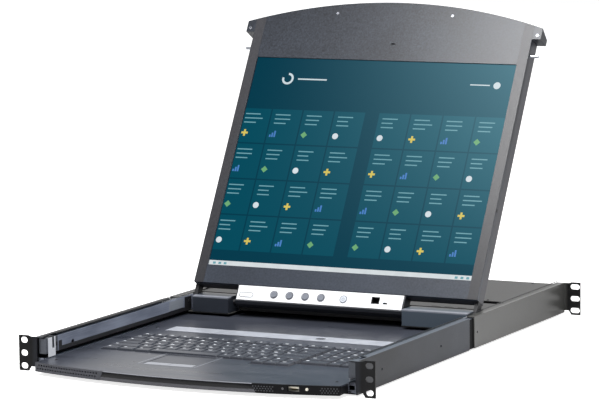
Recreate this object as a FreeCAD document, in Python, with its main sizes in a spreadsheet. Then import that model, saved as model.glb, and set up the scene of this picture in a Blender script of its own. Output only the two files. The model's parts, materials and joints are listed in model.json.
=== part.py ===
"""Rack console drawer, one unit high: a keyboard drawer and a flip-up display on slides of their own.

Row frame: X to the right as seen from the front, Y to the rear, Z up.  Sizes are worked out from the
rack plane, which is the front face of the front ears, and from the floor under the ears.  The whole
model is then moved along Y so that the middle of its length lies at zero.  The lid is modelled
upright about its hinge axis and leans back at rest.
"""
import FreeCAD, Part
import math
import os
import Sketcher
from FreeCAD import Rotation, Vector

doc = FreeCAD.newDocument("console_drawer")

SIZES = {
    # Rack ears and the side brackets that carry them
    "ear_reach": 23.0,
    "ear_plate": 2.0,
    "ear_tall": 43.7,
    "slot_reach": 15.55,
    "slot_pitch": 15.875,
    "front_slot_long": 9.8,
    "front_slot_high": 7.3,
    "rear_slot_long": 13.3,
    "rear_slot_high": 7.0,
    "neck_reach": 6.5,
    "neck_low": 5.5,
    "ear_chamfer": 3.5,
    "side_half": 217.0,
    "bracket_wall": 1.5,
    "bracket_low": 2.3,
    "bracket_high": 42.4,
    "lip_wide": 11.0,
    "lip_thick": 1.2,
    "lip_notch_front": 14.0,
    "front_bracket_long": 327.0,
    "rear_bracket_front": 342.0,
    "rear_ear_at": 643.4,
    "bracket_gap": 0.1,
    "bracket_hole": 3.0,
    "front_hole_at": 68.0,
    "second_hole_at": 239.0,
    "rear_hole_at": 351.0,
    # Chassis pan, its switch compartment and what is in it
    "chassis_wall": 1.0,
    "chassis_rear": 632.0,
    "wall_top": 40.0,
    "cover_sheet": 1.0,
    "cover_front": 464.0,
    "cover_gap": 0.5,
    "cover_screw_inset": 8.0,
    "cover_screw_side": 25.5,
    "bulkhead_at": 467.0,
    "bulkhead_foot": 9.0,
    "wire_way_left": -150.0,
    "wire_way_right": 20.0,
    "wire_way_wide": 60.0,
    "wire_way_up": 8.0,
    "wire_way_tall": 14.0,
    "board_thick": 1.6,
    "standoff_tall": 5.0,
    "standoff_radius": 3.0,
    "standoff_inset": 8.0,
    "board_left": -200.0,
    "board_right": 92.0,
    "board_front": 478.0,
    "board_back": 618.0,
    "supply_left": 104.0,
    "supply_right": 204.0,
    "supply_high": 36.0,
    "supply_short": 30.0,
    "supply_vent_inset": 14.0,
    "supply_vent_pitch": 9.0,
    "supply_vent_wide": 4.0,
    "supply_vent_deep": 2.0,
    "port_count": 8,
    "port_pitch": 33.0,
    "port_first": -176.0,
    "port_wide": 25.0,
    "port_tall": 11.0,
    "port_low": 14.0,
    "inlet_at": 172.0,
    "inlet_middle": 21.0,
    "inlet_wide": 28.0,
    "inlet_tall": 20.0,
    "inlet_deep": 20.0,
    "plug_wide": 24.2,
    "plug_tall": 16.2,
    "plug_deep": 15.0,
    "rocker_at": 138.0,
    "rocker_wide": 13.0,
    "rocker_tall": 19.0,
    "rocker_gap": 0.4,
    "rocker_tilt": 10.0,
    "rocker_pin": 1.2,
    "rocker_pivot": 3.0,
    "rim": 2.0,
    # Slides: three nested members on each side, thin enough to flank the closed lid
    "slide_thick": 10.6,
    "slide_sheet": 1.0,
    "slide_gap": 0.3,
    "slide_back": 455.0,
    "slide_hole": 3.5,
    "slide_hole_high": 26.5,
    "keyboard_slide_low": 3.6,
    "keyboard_slide_high": 16.4,
    "keyboard_slide_front": 3.0,
    "display_slide_low": 21.2,
    "display_slide_high": 40.2,
    "display_slide_front": 36.0,
    # Keyboard drawer
    "drawer_reach": 50.0,
    "front_overhang": 0.7,
    "drawer_rise": 28.5,
    "drawer_back": 452.0,
    "tray_low": 4.3,
    "tray_sheet": 1.0,
    "deck_top": 15.6,
    "deck_thick": 1.6,
    "bar_left": -98.0,
    "bar_right": 101.0,
    "bar_slant": 5.0,
    "bar_thick": 12.0,
    "fascia_thick": 3.0,
    "well_left": -179.5,
    "well_front": 91.0,
    "well_gap": 0.8,
    "key_pitch": 18.0,
    "key_row": 19.0,
    "key_space": 1.1,
    "key_taper": 1.4,
    "key_high": 18.1,
    "key_cap": 5.0,
    "key_travel": 2.0,
    "function_row": 15.5,
    "block_gap": 4.0,
    "stem_side": 4.4,
    "stem_play": 0.3,
    "plate_high": 10.4,
    "plate_thick": 1.4,
    "pad_left": -80.0,
    "pad_wide": 66.0,
    "pad_front": 37.0,
    "pad_deep": 50.0,
    "pad_drop": 0.4,
    "click_deep": 14.0,
    "click_travel": 0.6,
    "panel_fit": 0.3,
    "strip_left": -170.0,
    "strip_right": 141.0,
    "strip_front": 242.0,
    "strip_back": 273.0,
    "strip_thick": 0.6,
    "window_at": 44.0,
    "window_radius": 3.2,
    "perforation": 2.0,
    "perforation_margin": 3.5,
    "usb_at": 151.0,
    "usb_wide": 13.4,
    "usb_tall": 5.8,
    "usb_deep": 14.0,
    "usb_low": 8.0,
    "shell_wall": 0.5,
    "light_at": 138.5,
    "light_radius": 1.5,
    "reset_at": 167.0,
    "reset_radius": 1.7,
    "reset_travel": 0.8,
    "screw_radius": 2.4,
    "screw_head": 0.6,
    "deck_screw_inset": 14.8,
    "deck_screw_front": 3.0,
    "deck_screw_back": 432.0,
    # Display carriage
    "base_low": 19.1,
    "base_sheet": 1.2,
    "carriage_sheet": 1.0,
    "cover_slot_at": 130.0,
    "cover_slot_pitch": 18.0,
    "cover_slot_long": 12.0,
    "cover_slot_wide": 2.0,
    "cover_slot_back": 3.0,
    "carriage_top": 41.4,
    "hinge_cover_high": 41.2,
    "cover_ahead": 18.0,
    "cover_behind": 13.5,
    "base_setback": 0.5,
    "beam_gap": 4.0,
    "hinge_cover_wall": 1.0,
    "cover_side_gap": 1.3,
    "left_cover_inner": -144.0,
    "right_cover_inner": 105.5,
    "chin_gap": 1.5,
    "barrel_radius": 5.8,
    "barrel_end": 1.3,
    "shaft_radius": 3.0,
    "shaft_play": 0.05,
    "seam": 0.05,
    "rest_front": 4.0,
    "rest_back": 32.0,
    # Lid, from its hinge axis
    "hinge_y": 384.5,
    "hinge_z": 33.5,
    "lid_lean": 30.0,
    "lid_side_gap": 0.8,
    "lid_face": 12.8,
    "lid_thick": 21.0,
    "lid_foot": 19.7,
    "lid_shoulder": 385.2,
    "lid_split": 6.3,
    "lid_wall": 2.0,
    "bezel_sheet": 2.5,
    "border_side": 14.0,
    "border_foot": 25.5,
    "border_top": 37.0,
    "glass_thick": 0.6,
    "glass_lap": 2.0,
    "module_lap": 6.0,
    "module_thick": 9.0,
    "display_board_gap": 2.0,
    "display_board_wide": 140.0,
    "display_board_up": 25.0,
    "display_board_tall": 90.0,
    "handle_overhang": 12.5,
    "handle_rise": 32.5,
    "handle_tab": 16.0,
    "handle_screw_at": 84.0,
    "handle_screw_drop": 18.0,
    "handle_screw_inset": 5.5,
    "handle_slope": 7.0,
    "arm_thick": 5.0,
    "arm_radius": 6.0,
    "arm_inset": 0.2,
    "shaft_seat": 12.0,
    "chin_left": -137.0,
    "chin_right": 103.5,
    "chin_foot": 6.0,
    "chin_back": 6.0,
    "chin_chamfer": 3.0,
    "plate_face": 1.0,
    "plate_foot": 1.0,
    "plate_inset": 1.6,
    "button_first": -82.3,
    "button_pitch": 22.7,
    "button_line": 8.4,
    "button_radius": 4.2,
    "button_play": 0.3,
    "button_proud": 0.8,
    "button_body": 4.4,
    "button_travel": 0.8,
    "power_at": 18.0,
    "jack_at": 63.3,
    "jack_line": 9.8,
    "jack_wide": 11.6,
    "jack_tall": 9.6,
    "jack_wall": 1.0,
    "jack_deep": 11.0,
    "switch_at": 77.5,
    "switch_line": 6.6,
    "switch_wide": 2.4,
    "switch_tall": 1.8,
    "switch_travel": 1.5,
    "pin_line": 364.2,
    "pin_depth": 8.5,
    "pin_radius": 2.0,
    "pin_end_gap": 0.8,
    "pin_play": 0.5,
    "pin_head": 3.0,
    "latch_wide": 5.0,
    "latch_tall": 2.0,
    "latch_drop": 11.6,
    "latch_at": 4.5,
    "vent_pitch": 12.0,
    "vent_wide": 3.0,
    "vent_tall": 22.0,
}

sheet = doc.addObject("Spreadsheet::Sheet", "Sizes")
for row, (name, number) in enumerate(SIZES.items(), start=1):
    sheet.set(f"A{row}", name)
    sheet.set(f"B{row}", str(number))
    sheet.setAlias(f"B{row}", name)
doc.recompute()


class Size:
    """A number with the sheet formula that it comes from, so that sums of sizes stay bound."""

    def __init__(self, number, text):
        self.number = number
        self.text = text

    def join(self, other, sign, number):
        return Size(number, f"({self.text} {sign} {other.text})")

    def __add__(self, other):
        other = as_size(other)
        return self.join(other, "+", self.number + other.number)

    def __sub__(self, other):
        other = as_size(other)
        return self.join(other, "-", self.number - other.number)

    def __mul__(self, other):
        other = as_size(other)
        return self.join(other, "*", self.number * other.number)

    def __truediv__(self, other):
        other = as_size(other)
        return self.join(other, "/", self.number / other.number)

    def __radd__(self, other):
        return as_size(other) + self

    def __rsub__(self, other):
        return as_size(other) - self

    def __rmul__(self, other):
        return as_size(other) * self

    def __neg__(self):
        return as_size(0) - self


def as_size(value):
    """A plain number as a size of its own."""
    return value if isinstance(value, Size) else Size(float(value), repr(float(value)))


def root(value):
    """The square root of a size."""
    return Size(math.sqrt(value.number), f"sqrt({value.text})")


def turned(point, pivot, degrees):
    """A point of an outline after a turn about a pivot."""
    angle = math.radians(degrees.number)
    cosine = Size(math.cos(angle), f"cos({degrees.text} * 1 deg)")
    sine = Size(math.sin(angle), f"sin({degrees.text} * 1 deg)")
    a = as_size(point[0]) - pivot[0]
    b = as_size(point[1]) - pivot[1]
    return (pivot[0] + a * cosine - b * sine, pivot[1] + a * sine + b * cosine)


class Sheet:
    """The driving sizes by name, each bound to its cell."""

    def __getattr__(self, name):
        return Size(float(SIZES[name]), f"Sizes.{name}")


mm = Sheet()
pieces = []
LEAN_AXIS = Vector(1, 0, 0)


def bind(item, **formulas):
    """Bind properties to sheet formulas; an underscore stands for the dot of a nested property."""
    for name, value in formulas.items():
        item.setExpression(name.replace("_", "."), as_size(value).text)


def block(name, x, y, z):
    """A box between three pairs of planes."""
    item = doc.addObject("Part::Box", name)
    bind(item, Length=as_size(x[1]) - x[0], Width=as_size(y[1]) - y[0], Height=as_size(z[1]) - z[0])
    bind(item, Placement_Base_x=x[0], Placement_Base_y=y[0], Placement_Base_z=z[0])
    return item


TURNS = {"X": Rotation(Vector(0, 1, 0), 90), "Y": Rotation(Vector(1, 0, 0), -90), "Z": Rotation()}


def rod(name, along, middle, radius, span):
    """A cylinder along X, Y or Z about the point that the other two coordinates give."""
    item = doc.addObject("Part::Cylinder", name)
    item.Placement.Rotation = TURNS[along]
    bind(item, Radius=radius, Height=as_size(span[1]) - span[0])
    base = list(middle)
    base.insert("XYZ".index(along), span[0])
    bind(item, Placement_Base_x=base[0], Placement_Base_y=base[1], Placement_Base_z=base[2])
    return item


def prism(name, along, middle, radius, span, sides=12):
    """A rod with flat sides, for screw heads, standoffs and small drilled holes."""
    item = doc.addObject("Part::Prism", name)
    item.Polygon = sides
    item.Placement.Rotation = TURNS[along]
    bind(item, Circumradius=radius, Height=as_size(span[1]) - span[0])
    base = list(middle)
    base.insert("XYZ".index(along), span[0])
    bind(item, Placement_Base_x=base[0], Placement_Base_y=base[1], Placement_Base_z=base[2])
    return item


def joined(name, *items):
    """Solids that touch, fused into one."""
    item = doc.addObject("Part::MultiFuse", name)
    item.Shapes = list(items)
    item.Refine = True
    return item


def group(name, *items):
    """Like solids that stay apart."""
    item = doc.addObject("Part::Compound", name)
    item.Links = list(items)
    return item


def cut(name, base, *tools):
    """A base less its tools."""
    item = doc.addObject("Part::Cut", name)
    item.Base = base
    item.Tool = tools[0] if len(tools) == 1 else group(f"{name}_tools", *tools)
    return item


def overlap(name, first, second):
    """What two solids share."""
    item = doc.addObject("Part::Common", name)
    item.Base = first
    item.Tool = second
    return item


def body(name):
    return doc.addObject("PartDesign::Body", name)


NORMALS = {"XY": 1, "XZ": -1, "YZ": 1}


def outline(item, points):
    """A closed run of lines in a sketch, each corner tied to the origin by two bound distances."""
    corners = [(as_size(a), as_size(b)) for a, b in points]
    first = item.GeometryCount
    ends = corners[1:] + corners[:1]
    for (a, b), (c, d) in zip(corners, ends):
        item.addGeometry(Part.LineSegment(Vector(a.number, b.number, 0), Vector(c.number, d.number, 0)))
    for index in range(len(corners)):
        after = first + (index + 1) % len(corners)
        item.addConstraint(Sketcher.Constraint("Coincident", first + index, 2, after, 1))
    for index, corner in enumerate(corners):
        for kind, value in zip(("DistanceX", "DistanceY"), corner):
            tie = item.addConstraint(Sketcher.Constraint(kind, -1, 1, first + index, 1, value.number))
            item.setExpression(f"Constraints[{tie}]", value.text)


def slot(item, middle, long, high):
    """A round-ended slot in a sketch, along its first axis."""
    radius = high / 2
    centres = (middle[0] + (long / 2 - radius), middle[0] - (long / 2 - radius))
    level = as_size(middle[1])
    first = item.GeometryCount
    up = Vector(0, level.number + radius.number, 0)
    down = Vector(0, level.number - radius.number, 0)
    right = Vector(centres[0].number, 0, 0)
    left = Vector(centres[1].number, 0, 0)
    for centre, start in ((right, -math.pi / 2), (left, math.pi / 2)):
        circle = Part.Circle(centre + Vector(0, level.number, 0), Vector(0, 0, 1), radius.number)
        item.addGeometry(Part.ArcOfCircle(circle, start, start + math.pi))
    item.addGeometry(Part.LineSegment(right + up, left + up))
    item.addGeometry(Part.LineSegment(left + down, right + down))
    for one, end, other, start in ((0, 2, 2, 1), (2, 2, 1, 1), (1, 2, 3, 1), (3, 2, 0, 1)):
        item.addConstraint(Sketcher.Constraint("Tangent", first + one, end, first + other, start))
    for line in (first + 2, first + 3):
        item.addConstraint(Sketcher.Constraint("Horizontal", line))
    ties = (("Radius", (first,), radius), ("DistanceX", (-1, 1, first, 3), centres[0]),
            ("DistanceY", (-1, 1, first, 3), level), ("DistanceX", (-1, 1, first + 1, 3), centres[1]))
    for kind, places, value in ties:
        tie = item.addConstraint(Sketcher.Constraint(kind, *places, value.number))
        item.setExpression(f"Constraints[{tie}]", value.text)


def sketch(owner, plane, level):
    """An empty sketch parallel to one of the body's own planes."""
    item = owner.newObject("Sketcher::SketchObject", f"{owner.Name}_sketch")
    role = f"{plane}_Plane"
    base = [feature for feature in owner.Origin.OriginFeatures if feature.Role == role][0]
    item.AttachmentSupport = (base, [""])
    item.MapMode = "FlatFace"
    item.setExpression("AttachmentOffset.Base.z", (as_size(level) * NORMALS[plane]).text)
    return item


def extrude(owner, plane, span, *outlines, remove=False, slots=()):
    """A pad, or a pocket, of closed outlines from one level of a plane to another."""
    item = sketch(owner, plane, span[0])
    for points in outlines:
        outline(item, points)
    for middle, long, high in slots:
        slot(item, middle, long, high)
    kind = "Pocket" if remove else "Pad"
    feature = owner.newObject(f"PartDesign::{kind}", f"{owner.Name}_{kind.lower()}")
    feature.Profile = item
    feature.Reversed = (NORMALS[plane] < 0) != remove
    bind(feature, Length=as_size(span[1]) - span[0])
    return feature


def repeat(owner, feature, axis, count, pitch):
    """A row of copies of a feature along one of the body's own axes."""
    pattern = owner.newObject("PartDesign::LinearPattern", f"{owner.Name}_row")
    pattern.Originals = [feature]
    role = f"{axis}_Axis"
    line = [item for item in owner.Origin.OriginFeatures if item.Role == role][0]
    pattern.Direction = (line, [""])
    pattern.Occurrences = count
    bind(pattern, Length=as_size(pitch) * (count - 1))
    owner.Tip = pattern
    return pattern


def rectangle(a, b):
    """The four corners between two pairs of lines."""
    return [(a[0], b[0]), (a[1], b[0]), (a[1], b[1]), (a[0], b[1])]


def ordered(side, near, far):
    """Two distances from the middle plane as a low and high X on the left (-1) or right (+1)."""
    return (near * side, far * side) if side > 0 else (far * side, near * side)


# The rack plane lies so that the drawer's front and the rear ears reach equally far from the origin.
rack_y = (mm.drawer_reach - mm.rear_ear_at - mm.ear_plate) / 2


def sub_part(item, name, lid=False):
    """Name a finished piece and put it in the row frame, leaning with the lid where it rides on it."""
    if item.TypeId in ("Part::Box", "Part::Cylinder", "Part::Prism"):
        item = group(f"{name}_whole", item)
    item.Label = name
    y = rack_y + mm.hinge_y if lid else rack_y
    bind(item, Placement_Base_y=y, Placement_Base_z=mm.hinge_z if lid else 0)
    if lid:
        item.Placement.Rotation = Rotation(LEAN_AXIS, -1)
        bind(item, Placement_Rotation_Angle=-mm.lid_lean)
        item.Placement.Rotation.Axis = LEAN_AXIS
    pieces.append(item)
    return item


SIDES = {"left": -1, "right": 1}

# Chassis: a pan of bent sheet, with the side walls that carry every slide and a rear wall for the sockets.
chassis_outer = mm.side_half - mm.bracket_wall - mm.bracket_gap
chassis_inner = chassis_outer - mm.chassis_wall
ear_half = mm.side_half + mm.ear_reach
slot_column = mm.side_half + mm.slot_reach
neck_from = mm.side_half + mm.neck_reach
floor_top = mm.bracket_low + mm.chassis_wall
rear_inner = mm.chassis_rear - mm.chassis_wall
rear_span = (rear_inner, mm.chassis_rear)


def port_x(index):
    return mm.port_first + mm.port_pitch * index


def make_chassis():
    pan = body("chassis_pan")
    wall_points = [(-chassis_outer, mm.bracket_low), (chassis_outer, mm.bracket_low),
                   (chassis_outer, mm.wall_top), (chassis_inner, mm.wall_top),
                   (chassis_inner, floor_top), (-chassis_inner, floor_top),
                   (-chassis_inner, mm.wall_top), (-chassis_outer, mm.wall_top)]
    extrude(pan, "XZ", (mm.ear_plate, mm.chassis_rear), wall_points)
    wall = rectangle((-chassis_inner, chassis_inner), (floor_top, mm.wall_top))
    extrude(pan, "XZ", rear_span, wall)
    inlet_hole = rectangle((mm.inlet_at - mm.inlet_wide / 2, mm.inlet_at + mm.inlet_wide / 2),
                           (mm.inlet_middle - mm.inlet_tall / 2, mm.inlet_middle + mm.inlet_tall / 2))
    half = mm.rocker_wide / 2 + mm.rim
    tall = mm.rocker_tall / 2 + mm.rim
    rocker_hole = rectangle((mm.rocker_at - half, mm.rocker_at + half),
                            (mm.inlet_middle - tall, mm.inlet_middle + tall))
    ports = [rectangle((port_x(index) - mm.port_wide / 2, port_x(index) + mm.port_wide / 2),
                       (mm.port_low, mm.port_low + mm.port_tall)) for index in range(SIZES["port_count"])]
    extrude(pan, "XZ", rear_span, inlet_hole, rocker_hole, *ports, remove=True)
    return sub_part(pan, "chassis")


make_chassis()

# Side brackets: an ear with three slots, a long flange along the chassis and a lip turned in over the slides.
middle_z = mm.ear_tall / 2
lip_low = mm.bracket_high - mm.lip_thick


def bracket(name, side, ear, flange, slot_size, notch):
    """An L-shaped bracket: ear plate at the rack plane or behind, flange and lip along Y."""
    item = body(name)
    neck_in = chassis_inner * side
    out = ear_half * side
    neck = neck_from * side
    neck_high = mm.bracket_high
    corner = mm.ear_chamfer
    points = [(neck_in, mm.neck_low), (neck, mm.neck_low), (neck + corner * side, 0), (out, 0),
              (out, mm.ear_tall), (neck + corner * side, mm.ear_tall), (neck, neck_high), (neck_in, neck_high)]
    extrude(item, "XZ", ear, points)
    column = slot_column * side
    lowest = middle_z - mm.slot_pitch
    first = extrude(item, "XZ", ear, remove=True, slots=[((column, lowest), *slot_size)])
    repeat(item, first, "Z", 3, mm.slot_pitch)
    skin = ordered(side, mm.side_half - mm.bracket_wall, mm.side_half)
    extrude(item, "XZ", flange, rectangle(skin, (mm.bracket_low, mm.bracket_high)))
    lip = ordered(side, mm.side_half - mm.lip_wide, mm.side_half - mm.bracket_wall)
    extrude(item, "XZ", flange, rectangle(lip, (lip_low, mm.bracket_high)))
    if notch:
        extrude(item, "XY", (lip_low, mm.bracket_high), rectangle(lip, notch), remove=True)
    return item


front_slots = (mm.front_slot_long, mm.front_slot_high)
rear_slots = (mm.rear_slot_long, mm.rear_slot_high)


def drill_flange(name, item, side, *places):
    """The small tooling holes through a bracket's flange."""
    span = ordered(side, mm.side_half - mm.bracket_wall - 1, mm.side_half + 1)
    drills = [prism(f"{name}_drill_{index}", "X", (y, middle_z), mm.bracket_hole / 2, span)
              for index, y in enumerate(places)]
    return cut(name, item, *drills)


def make_brackets():
    front_ear = (0, mm.ear_plate)
    rear_ear = (mm.rear_ear_at, mm.rear_ear_at + mm.ear_plate)
    front_flange = (0, mm.front_bracket_long)
    rear_flange = (mm.rear_bracket_front, mm.rear_ear_at + mm.ear_plate)
    fronts = []
    for word, side in SIDES.items():
        notch = (mm.lip_notch_front, mm.rest_back)
        front = bracket(f"front_bracket_{word}_sheet", side, front_ear, front_flange, front_slots, notch)
        fronts.append(drill_flange(f"front_bracket_{word}_drilled", front, side, mm.front_hole_at, mm.second_hole_at))
        rear = bracket(f"rear_bracket_{word}_sheet", side, rear_ear, rear_flange, rear_slots, None)
        drilled = drill_flange(f"rear_bracket_{word}_drilled", rear, side, mm.rear_hole_at)
        sub_part(drilled, f"rear_bracket_{word}")
    return sub_part(group("front_bracket_pair", *fronts), "front_brackets")


make_brackets()

# Top cover of the switch compartment: its edges rest on the chassis walls, its middle is pressed up flush.
raised_half = mm.side_half - mm.lip_wide - mm.cover_gap
cover_low = mm.wall_top
cover_shelf = cover_low + mm.cover_sheet


def make_top_cover():
    cover = body("top_cover_sheet")
    inner = raised_half - mm.cover_sheet
    under = mm.bracket_high - mm.cover_sheet
    points = [(-chassis_outer, cover_low), (-inner, cover_low), (-inner, under), (inner, under),
              (inner, cover_low), (chassis_outer, cover_low), (chassis_outer, cover_shelf),
              (raised_half, cover_shelf), (raised_half, mm.bracket_high), (-raised_half, mm.bracket_high),
              (-raised_half, cover_shelf), (-chassis_outer, cover_shelf)]
    extrude(cover, "XZ", (mm.cover_front, mm.chassis_rear), points)
    return sub_part(cover, "top_cover")


def make_cover_screws():
    heads = []
    across = raised_half - mm.cover_screw_side
    for x in (-across, -across / 3, across / 3, across):
        for y in (mm.cover_front + mm.cover_screw_inset, mm.chassis_rear - mm.cover_screw_inset):
            span = (mm.bracket_high, mm.bracket_high + mm.screw_head)
            heads.append(prism(f"cover_screw_{len(heads)}", "Z", (x, y), mm.screw_radius, span))
    return sub_part(group("cover_screw_set", *heads), "cover_screws")


def make_bulkhead():
    """The upright sheet that closes the compartment in front, with two ways through for the wiring."""
    span = (mm.bulkhead_at, mm.bulkhead_at + mm.chassis_wall)
    upright = body("bulkhead_sheet")
    extrude(upright, "XZ", span, rectangle((-chassis_inner, chassis_inner), (floor_top, cover_low)))
    low = floor_top + mm.wire_way_up
    ways = [rectangle((x, x + mm.wire_way_wide), (low, low + mm.wire_way_tall))
            for x in (mm.wire_way_left, mm.wire_way_right)]
    extrude(upright, "XZ", span, *ways, remove=True)
    foot = (mm.bulkhead_at, mm.bulkhead_at + mm.bulkhead_foot)
    extrude(upright, "XZ", foot, rectangle((-chassis_inner, chassis_inner), (floor_top, floor_top + mm.chassis_wall)))
    return sub_part(upright, "bulkhead")


make_top_cover()
make_cover_screws()
make_bulkhead()


# What the compartment holds: the switching board on standoffs, the power supply, the inlet and the sockets.
board_low = floor_top + mm.standoff_tall
board_top = board_low + mm.board_thick


# Each chip on the board: how far right and back it lies, its side and its height.
CHIPS = ((30, 22, 34, 8), (90, 22, 24, 3), (140, 28, 30, 10), (200, 22, 24, 3), (246, 42, 30, 12))


def make_main_board():
    plate = block("main_board_plate", (mm.board_left, mm.board_right), (mm.board_front, mm.board_back),
                  (board_low, board_top))
    parts = [plate]
    inset = mm.standoff_inset
    for x in (mm.board_left + inset, (mm.board_left + mm.board_right) / 2, mm.board_right - inset):
        for y in (mm.board_front + inset, mm.board_back - inset):
            span = (floor_top, board_low)
            parts.append(prism(f"standoff_{len(parts)}", "Z", (x, y), mm.standoff_radius, span, sides=6))
    for right, back, side, tall in CHIPS:
        x = mm.board_left + right
        y = mm.board_front + back
        parts.append(block(f"chip_{len(parts)}", (x, x + side), (y, y + side), (board_top, board_top + tall)))
    return sub_part(joined("main_board_built", *parts), "main_board")


SUPPLY_VENTS = 8


def make_power_supply():
    back = mm.board_back - mm.supply_short
    case = block("supply_case", (mm.supply_left, mm.supply_right), (mm.board_front, back),
                 (floor_top, mm.supply_high))
    inset = mm.supply_vent_inset
    vents = []
    for index in range(SUPPLY_VENTS):
        x = mm.supply_left + inset + mm.supply_vent_pitch * index
        vents.append(block(f"supply_vent_{index}", (x, x + mm.supply_vent_wide),
                           (mm.board_front + inset, back - inset),
                           (mm.supply_high - mm.supply_vent_deep, mm.supply_high + 1)))
    return sub_part(cut("supply_vented", case, *vents), "power_supply")


def make_mains_inlet():
    """The appliance inlet and the frame of the rocker beside it, one moulding each."""
    x = mm.inlet_at
    z = mm.inlet_middle
    half = mm.inlet_wide / 2
    tall = mm.inlet_tall / 2
    flange = (mm.chassis_rear, mm.chassis_rear + mm.rim)
    shell = joined("inlet_shell",
                   block("inlet_body", (x - half, x + half), (mm.chassis_rear - mm.inlet_deep, mm.chassis_rear),
                         (z - tall, z + tall)),
                   block("inlet_flange", (x - half - 2, x + half + 2), flange, (z - tall - 2, z + tall + 2)))
    mouth = block("inlet_mouth", (x - mm.plug_wide / 2, x + mm.plug_wide / 2),
                  (mm.chassis_rear + mm.rim - mm.plug_deep, mm.chassis_rear + mm.rim + 1),
                  (z - mm.plug_tall / 2, z + mm.plug_tall / 2))
    open_shell = cut("inlet_open", shell, mouth)
    deep = mm.chassis_rear + mm.rim - mm.plug_deep
    blades = [block(f"inlet_blade_{index}", (x + across - 1, x + across + 1), (deep, deep + 9), (z + up - 2, z + up + 2))
              for index, (across, up) in enumerate(((-7, -2), (7, -2), (0, 2)))]
    wide = mm.rocker_wide / 2
    high = mm.rocker_tall / 2
    frame_low = (mm.rocker_at - wide - mm.rim, mm.rocker_at + wide + mm.rim)
    frame = cut("rocker_frame",
                block("rocker_frame_body", frame_low, (mm.chassis_rear - 12, mm.chassis_rear + mm.rim),
                      (z - high - mm.rim, z + high + mm.rim)),
                block("rocker_frame_hole", (mm.rocker_at - wide, mm.rocker_at + wide),
                      (mm.chassis_rear - 10, mm.chassis_rear + mm.rim + 1), (z - high, z + high)),
                rod("rocker_pin_way", "X", (mm.chassis_rear - mm.rocker_pivot, z), mm.rocker_pin + mm.shaft_play,
                    (mm.rocker_at - wide - mm.rim / 2, mm.rocker_at + wide + mm.rim / 2)))
    return sub_part(group("inlet_and_frame", joined("inlet_built", open_shell, *blades), frame), "mains_inlet")


def make_rocker():
    """The rocker rests tipped one way, on a pin whose ends turn in the frame."""
    rocker = body("rocker_moulding")
    wide = mm.rocker_wide / 2
    span = (mm.rocker_at - wide + mm.rocker_gap, mm.rocker_at + wide - mm.rocker_gap)
    half = mm.rocker_tall / 2 - mm.rocker_gap * 3
    z = mm.inlet_middle
    pivot = (mm.chassis_rear - mm.rocker_pivot, z)
    front = mm.chassis_rear + mm.rocker_gap
    back = pivot[0] - mm.rocker_pin * 2
    points = [(back, z - half), (front, z - half), (front - mm.rocker_pin, z), (front, z + half), (back, z + half)]
    extrude(rocker, "YZ", span, [turned(point, pivot, mm.rocker_tilt) for point in points])
    reach = mm.rim / 2 - mm.shaft_play
    pin = rod("rocker_pin", "X", pivot, mm.rocker_pin, (mm.rocker_at - wide - reach, mm.rocker_at + wide + reach))
    return sub_part(joined("rocker_built", rocker, pin), "power_rocker")


def make_ports():
    """The row of shielded computer ports, each a shell through the rear wall with a blind face."""
    shells = []
    for index in range(SIZES["port_count"]):
        x = port_x(index)
        reach = (rear_inner - 8, mm.chassis_rear)
        shell = block(f"port_body_{index}", (x - mm.port_wide / 2, x + mm.port_wide / 2), reach,
                      (mm.port_low, mm.port_low + mm.port_tall))
        nose = block(f"port_nose_{index}", (x - 8.5, x + 8.5), (mm.chassis_rear, mm.chassis_rear + 5),
                     (mm.port_low + 1.5, mm.port_low + mm.port_tall - 1.5))
        shells.append(joined(f"port_{index}", shell, nose))
    return sub_part(group("port_row", *shells), "computer_ports")


make_main_board()
make_power_supply()
make_mains_inlet()
make_rocker()
make_ports()

# Slides: each has a fixed channel on the chassis wall, a middle channel inside it and an inner member that
# carries the module.  Seen from the end the three nest, every pair one running gap apart.
module_face = chassis_inner - mm.slide_thick


def channel(side, near, far, low, high):
    """The end outline of a channel whose web stands at near and whose flanges reach to far."""
    inner = near + mm.slide_sheet * (1 if far.number > near.number else -1)
    top = high - mm.slide_sheet
    bottom = low + mm.slide_sheet
    points = [(near, low), (far, low), (far, bottom), (inner, bottom), (inner, top), (far, top), (far, high), (near, high)]
    return [(x * side, z) for x, z in points]


def slide_members(kind, low, high, front, inner_front):
    """The six members of one pair of slides, by role."""
    step = mm.slide_sheet + mm.slide_gap
    made = {"outer": [], "middle": [], "inner": []}
    for word, side in SIDES.items():
        outer = body(f"{kind}_outer_{word}")
        flange_end = chassis_inner - (mm.slide_thick - mm.slide_sheet - mm.slide_gap * 2) + mm.slide_sheet
        extrude(outer, "XZ", (front, mm.slide_back), channel(side, chassis_inner, flange_end, low, high))
        middle = body(f"{kind}_middle_{word}")
        web = chassis_inner - step
        extrude(middle, "XZ", (front, mm.slide_back), channel(side, web, flange_end, low + step, high - step))
        inner = body(f"{kind}_inner_{word}")
        root = web - step
        face = module_face
        back = face + mm.slide_sheet
        lower = low + step * 2
        upper = high - step * 2
        points = [(face, low), (back, low), (back, lower), (root, lower), (root, lower + mm.slide_sheet),
                  (back, lower + mm.slide_sheet), (back, upper - mm.slide_sheet), (root, upper - mm.slide_sheet),
                  (root, upper), (back, upper), (back, high), (face, high)]
        extrude(inner, "XZ", (inner_front, mm.slide_back), [(x * side, z) for x, z in points])
        for role, item in (("outer", outer), ("middle", middle), ("inner", inner)):
            made[role].append(item)
    return made


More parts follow.
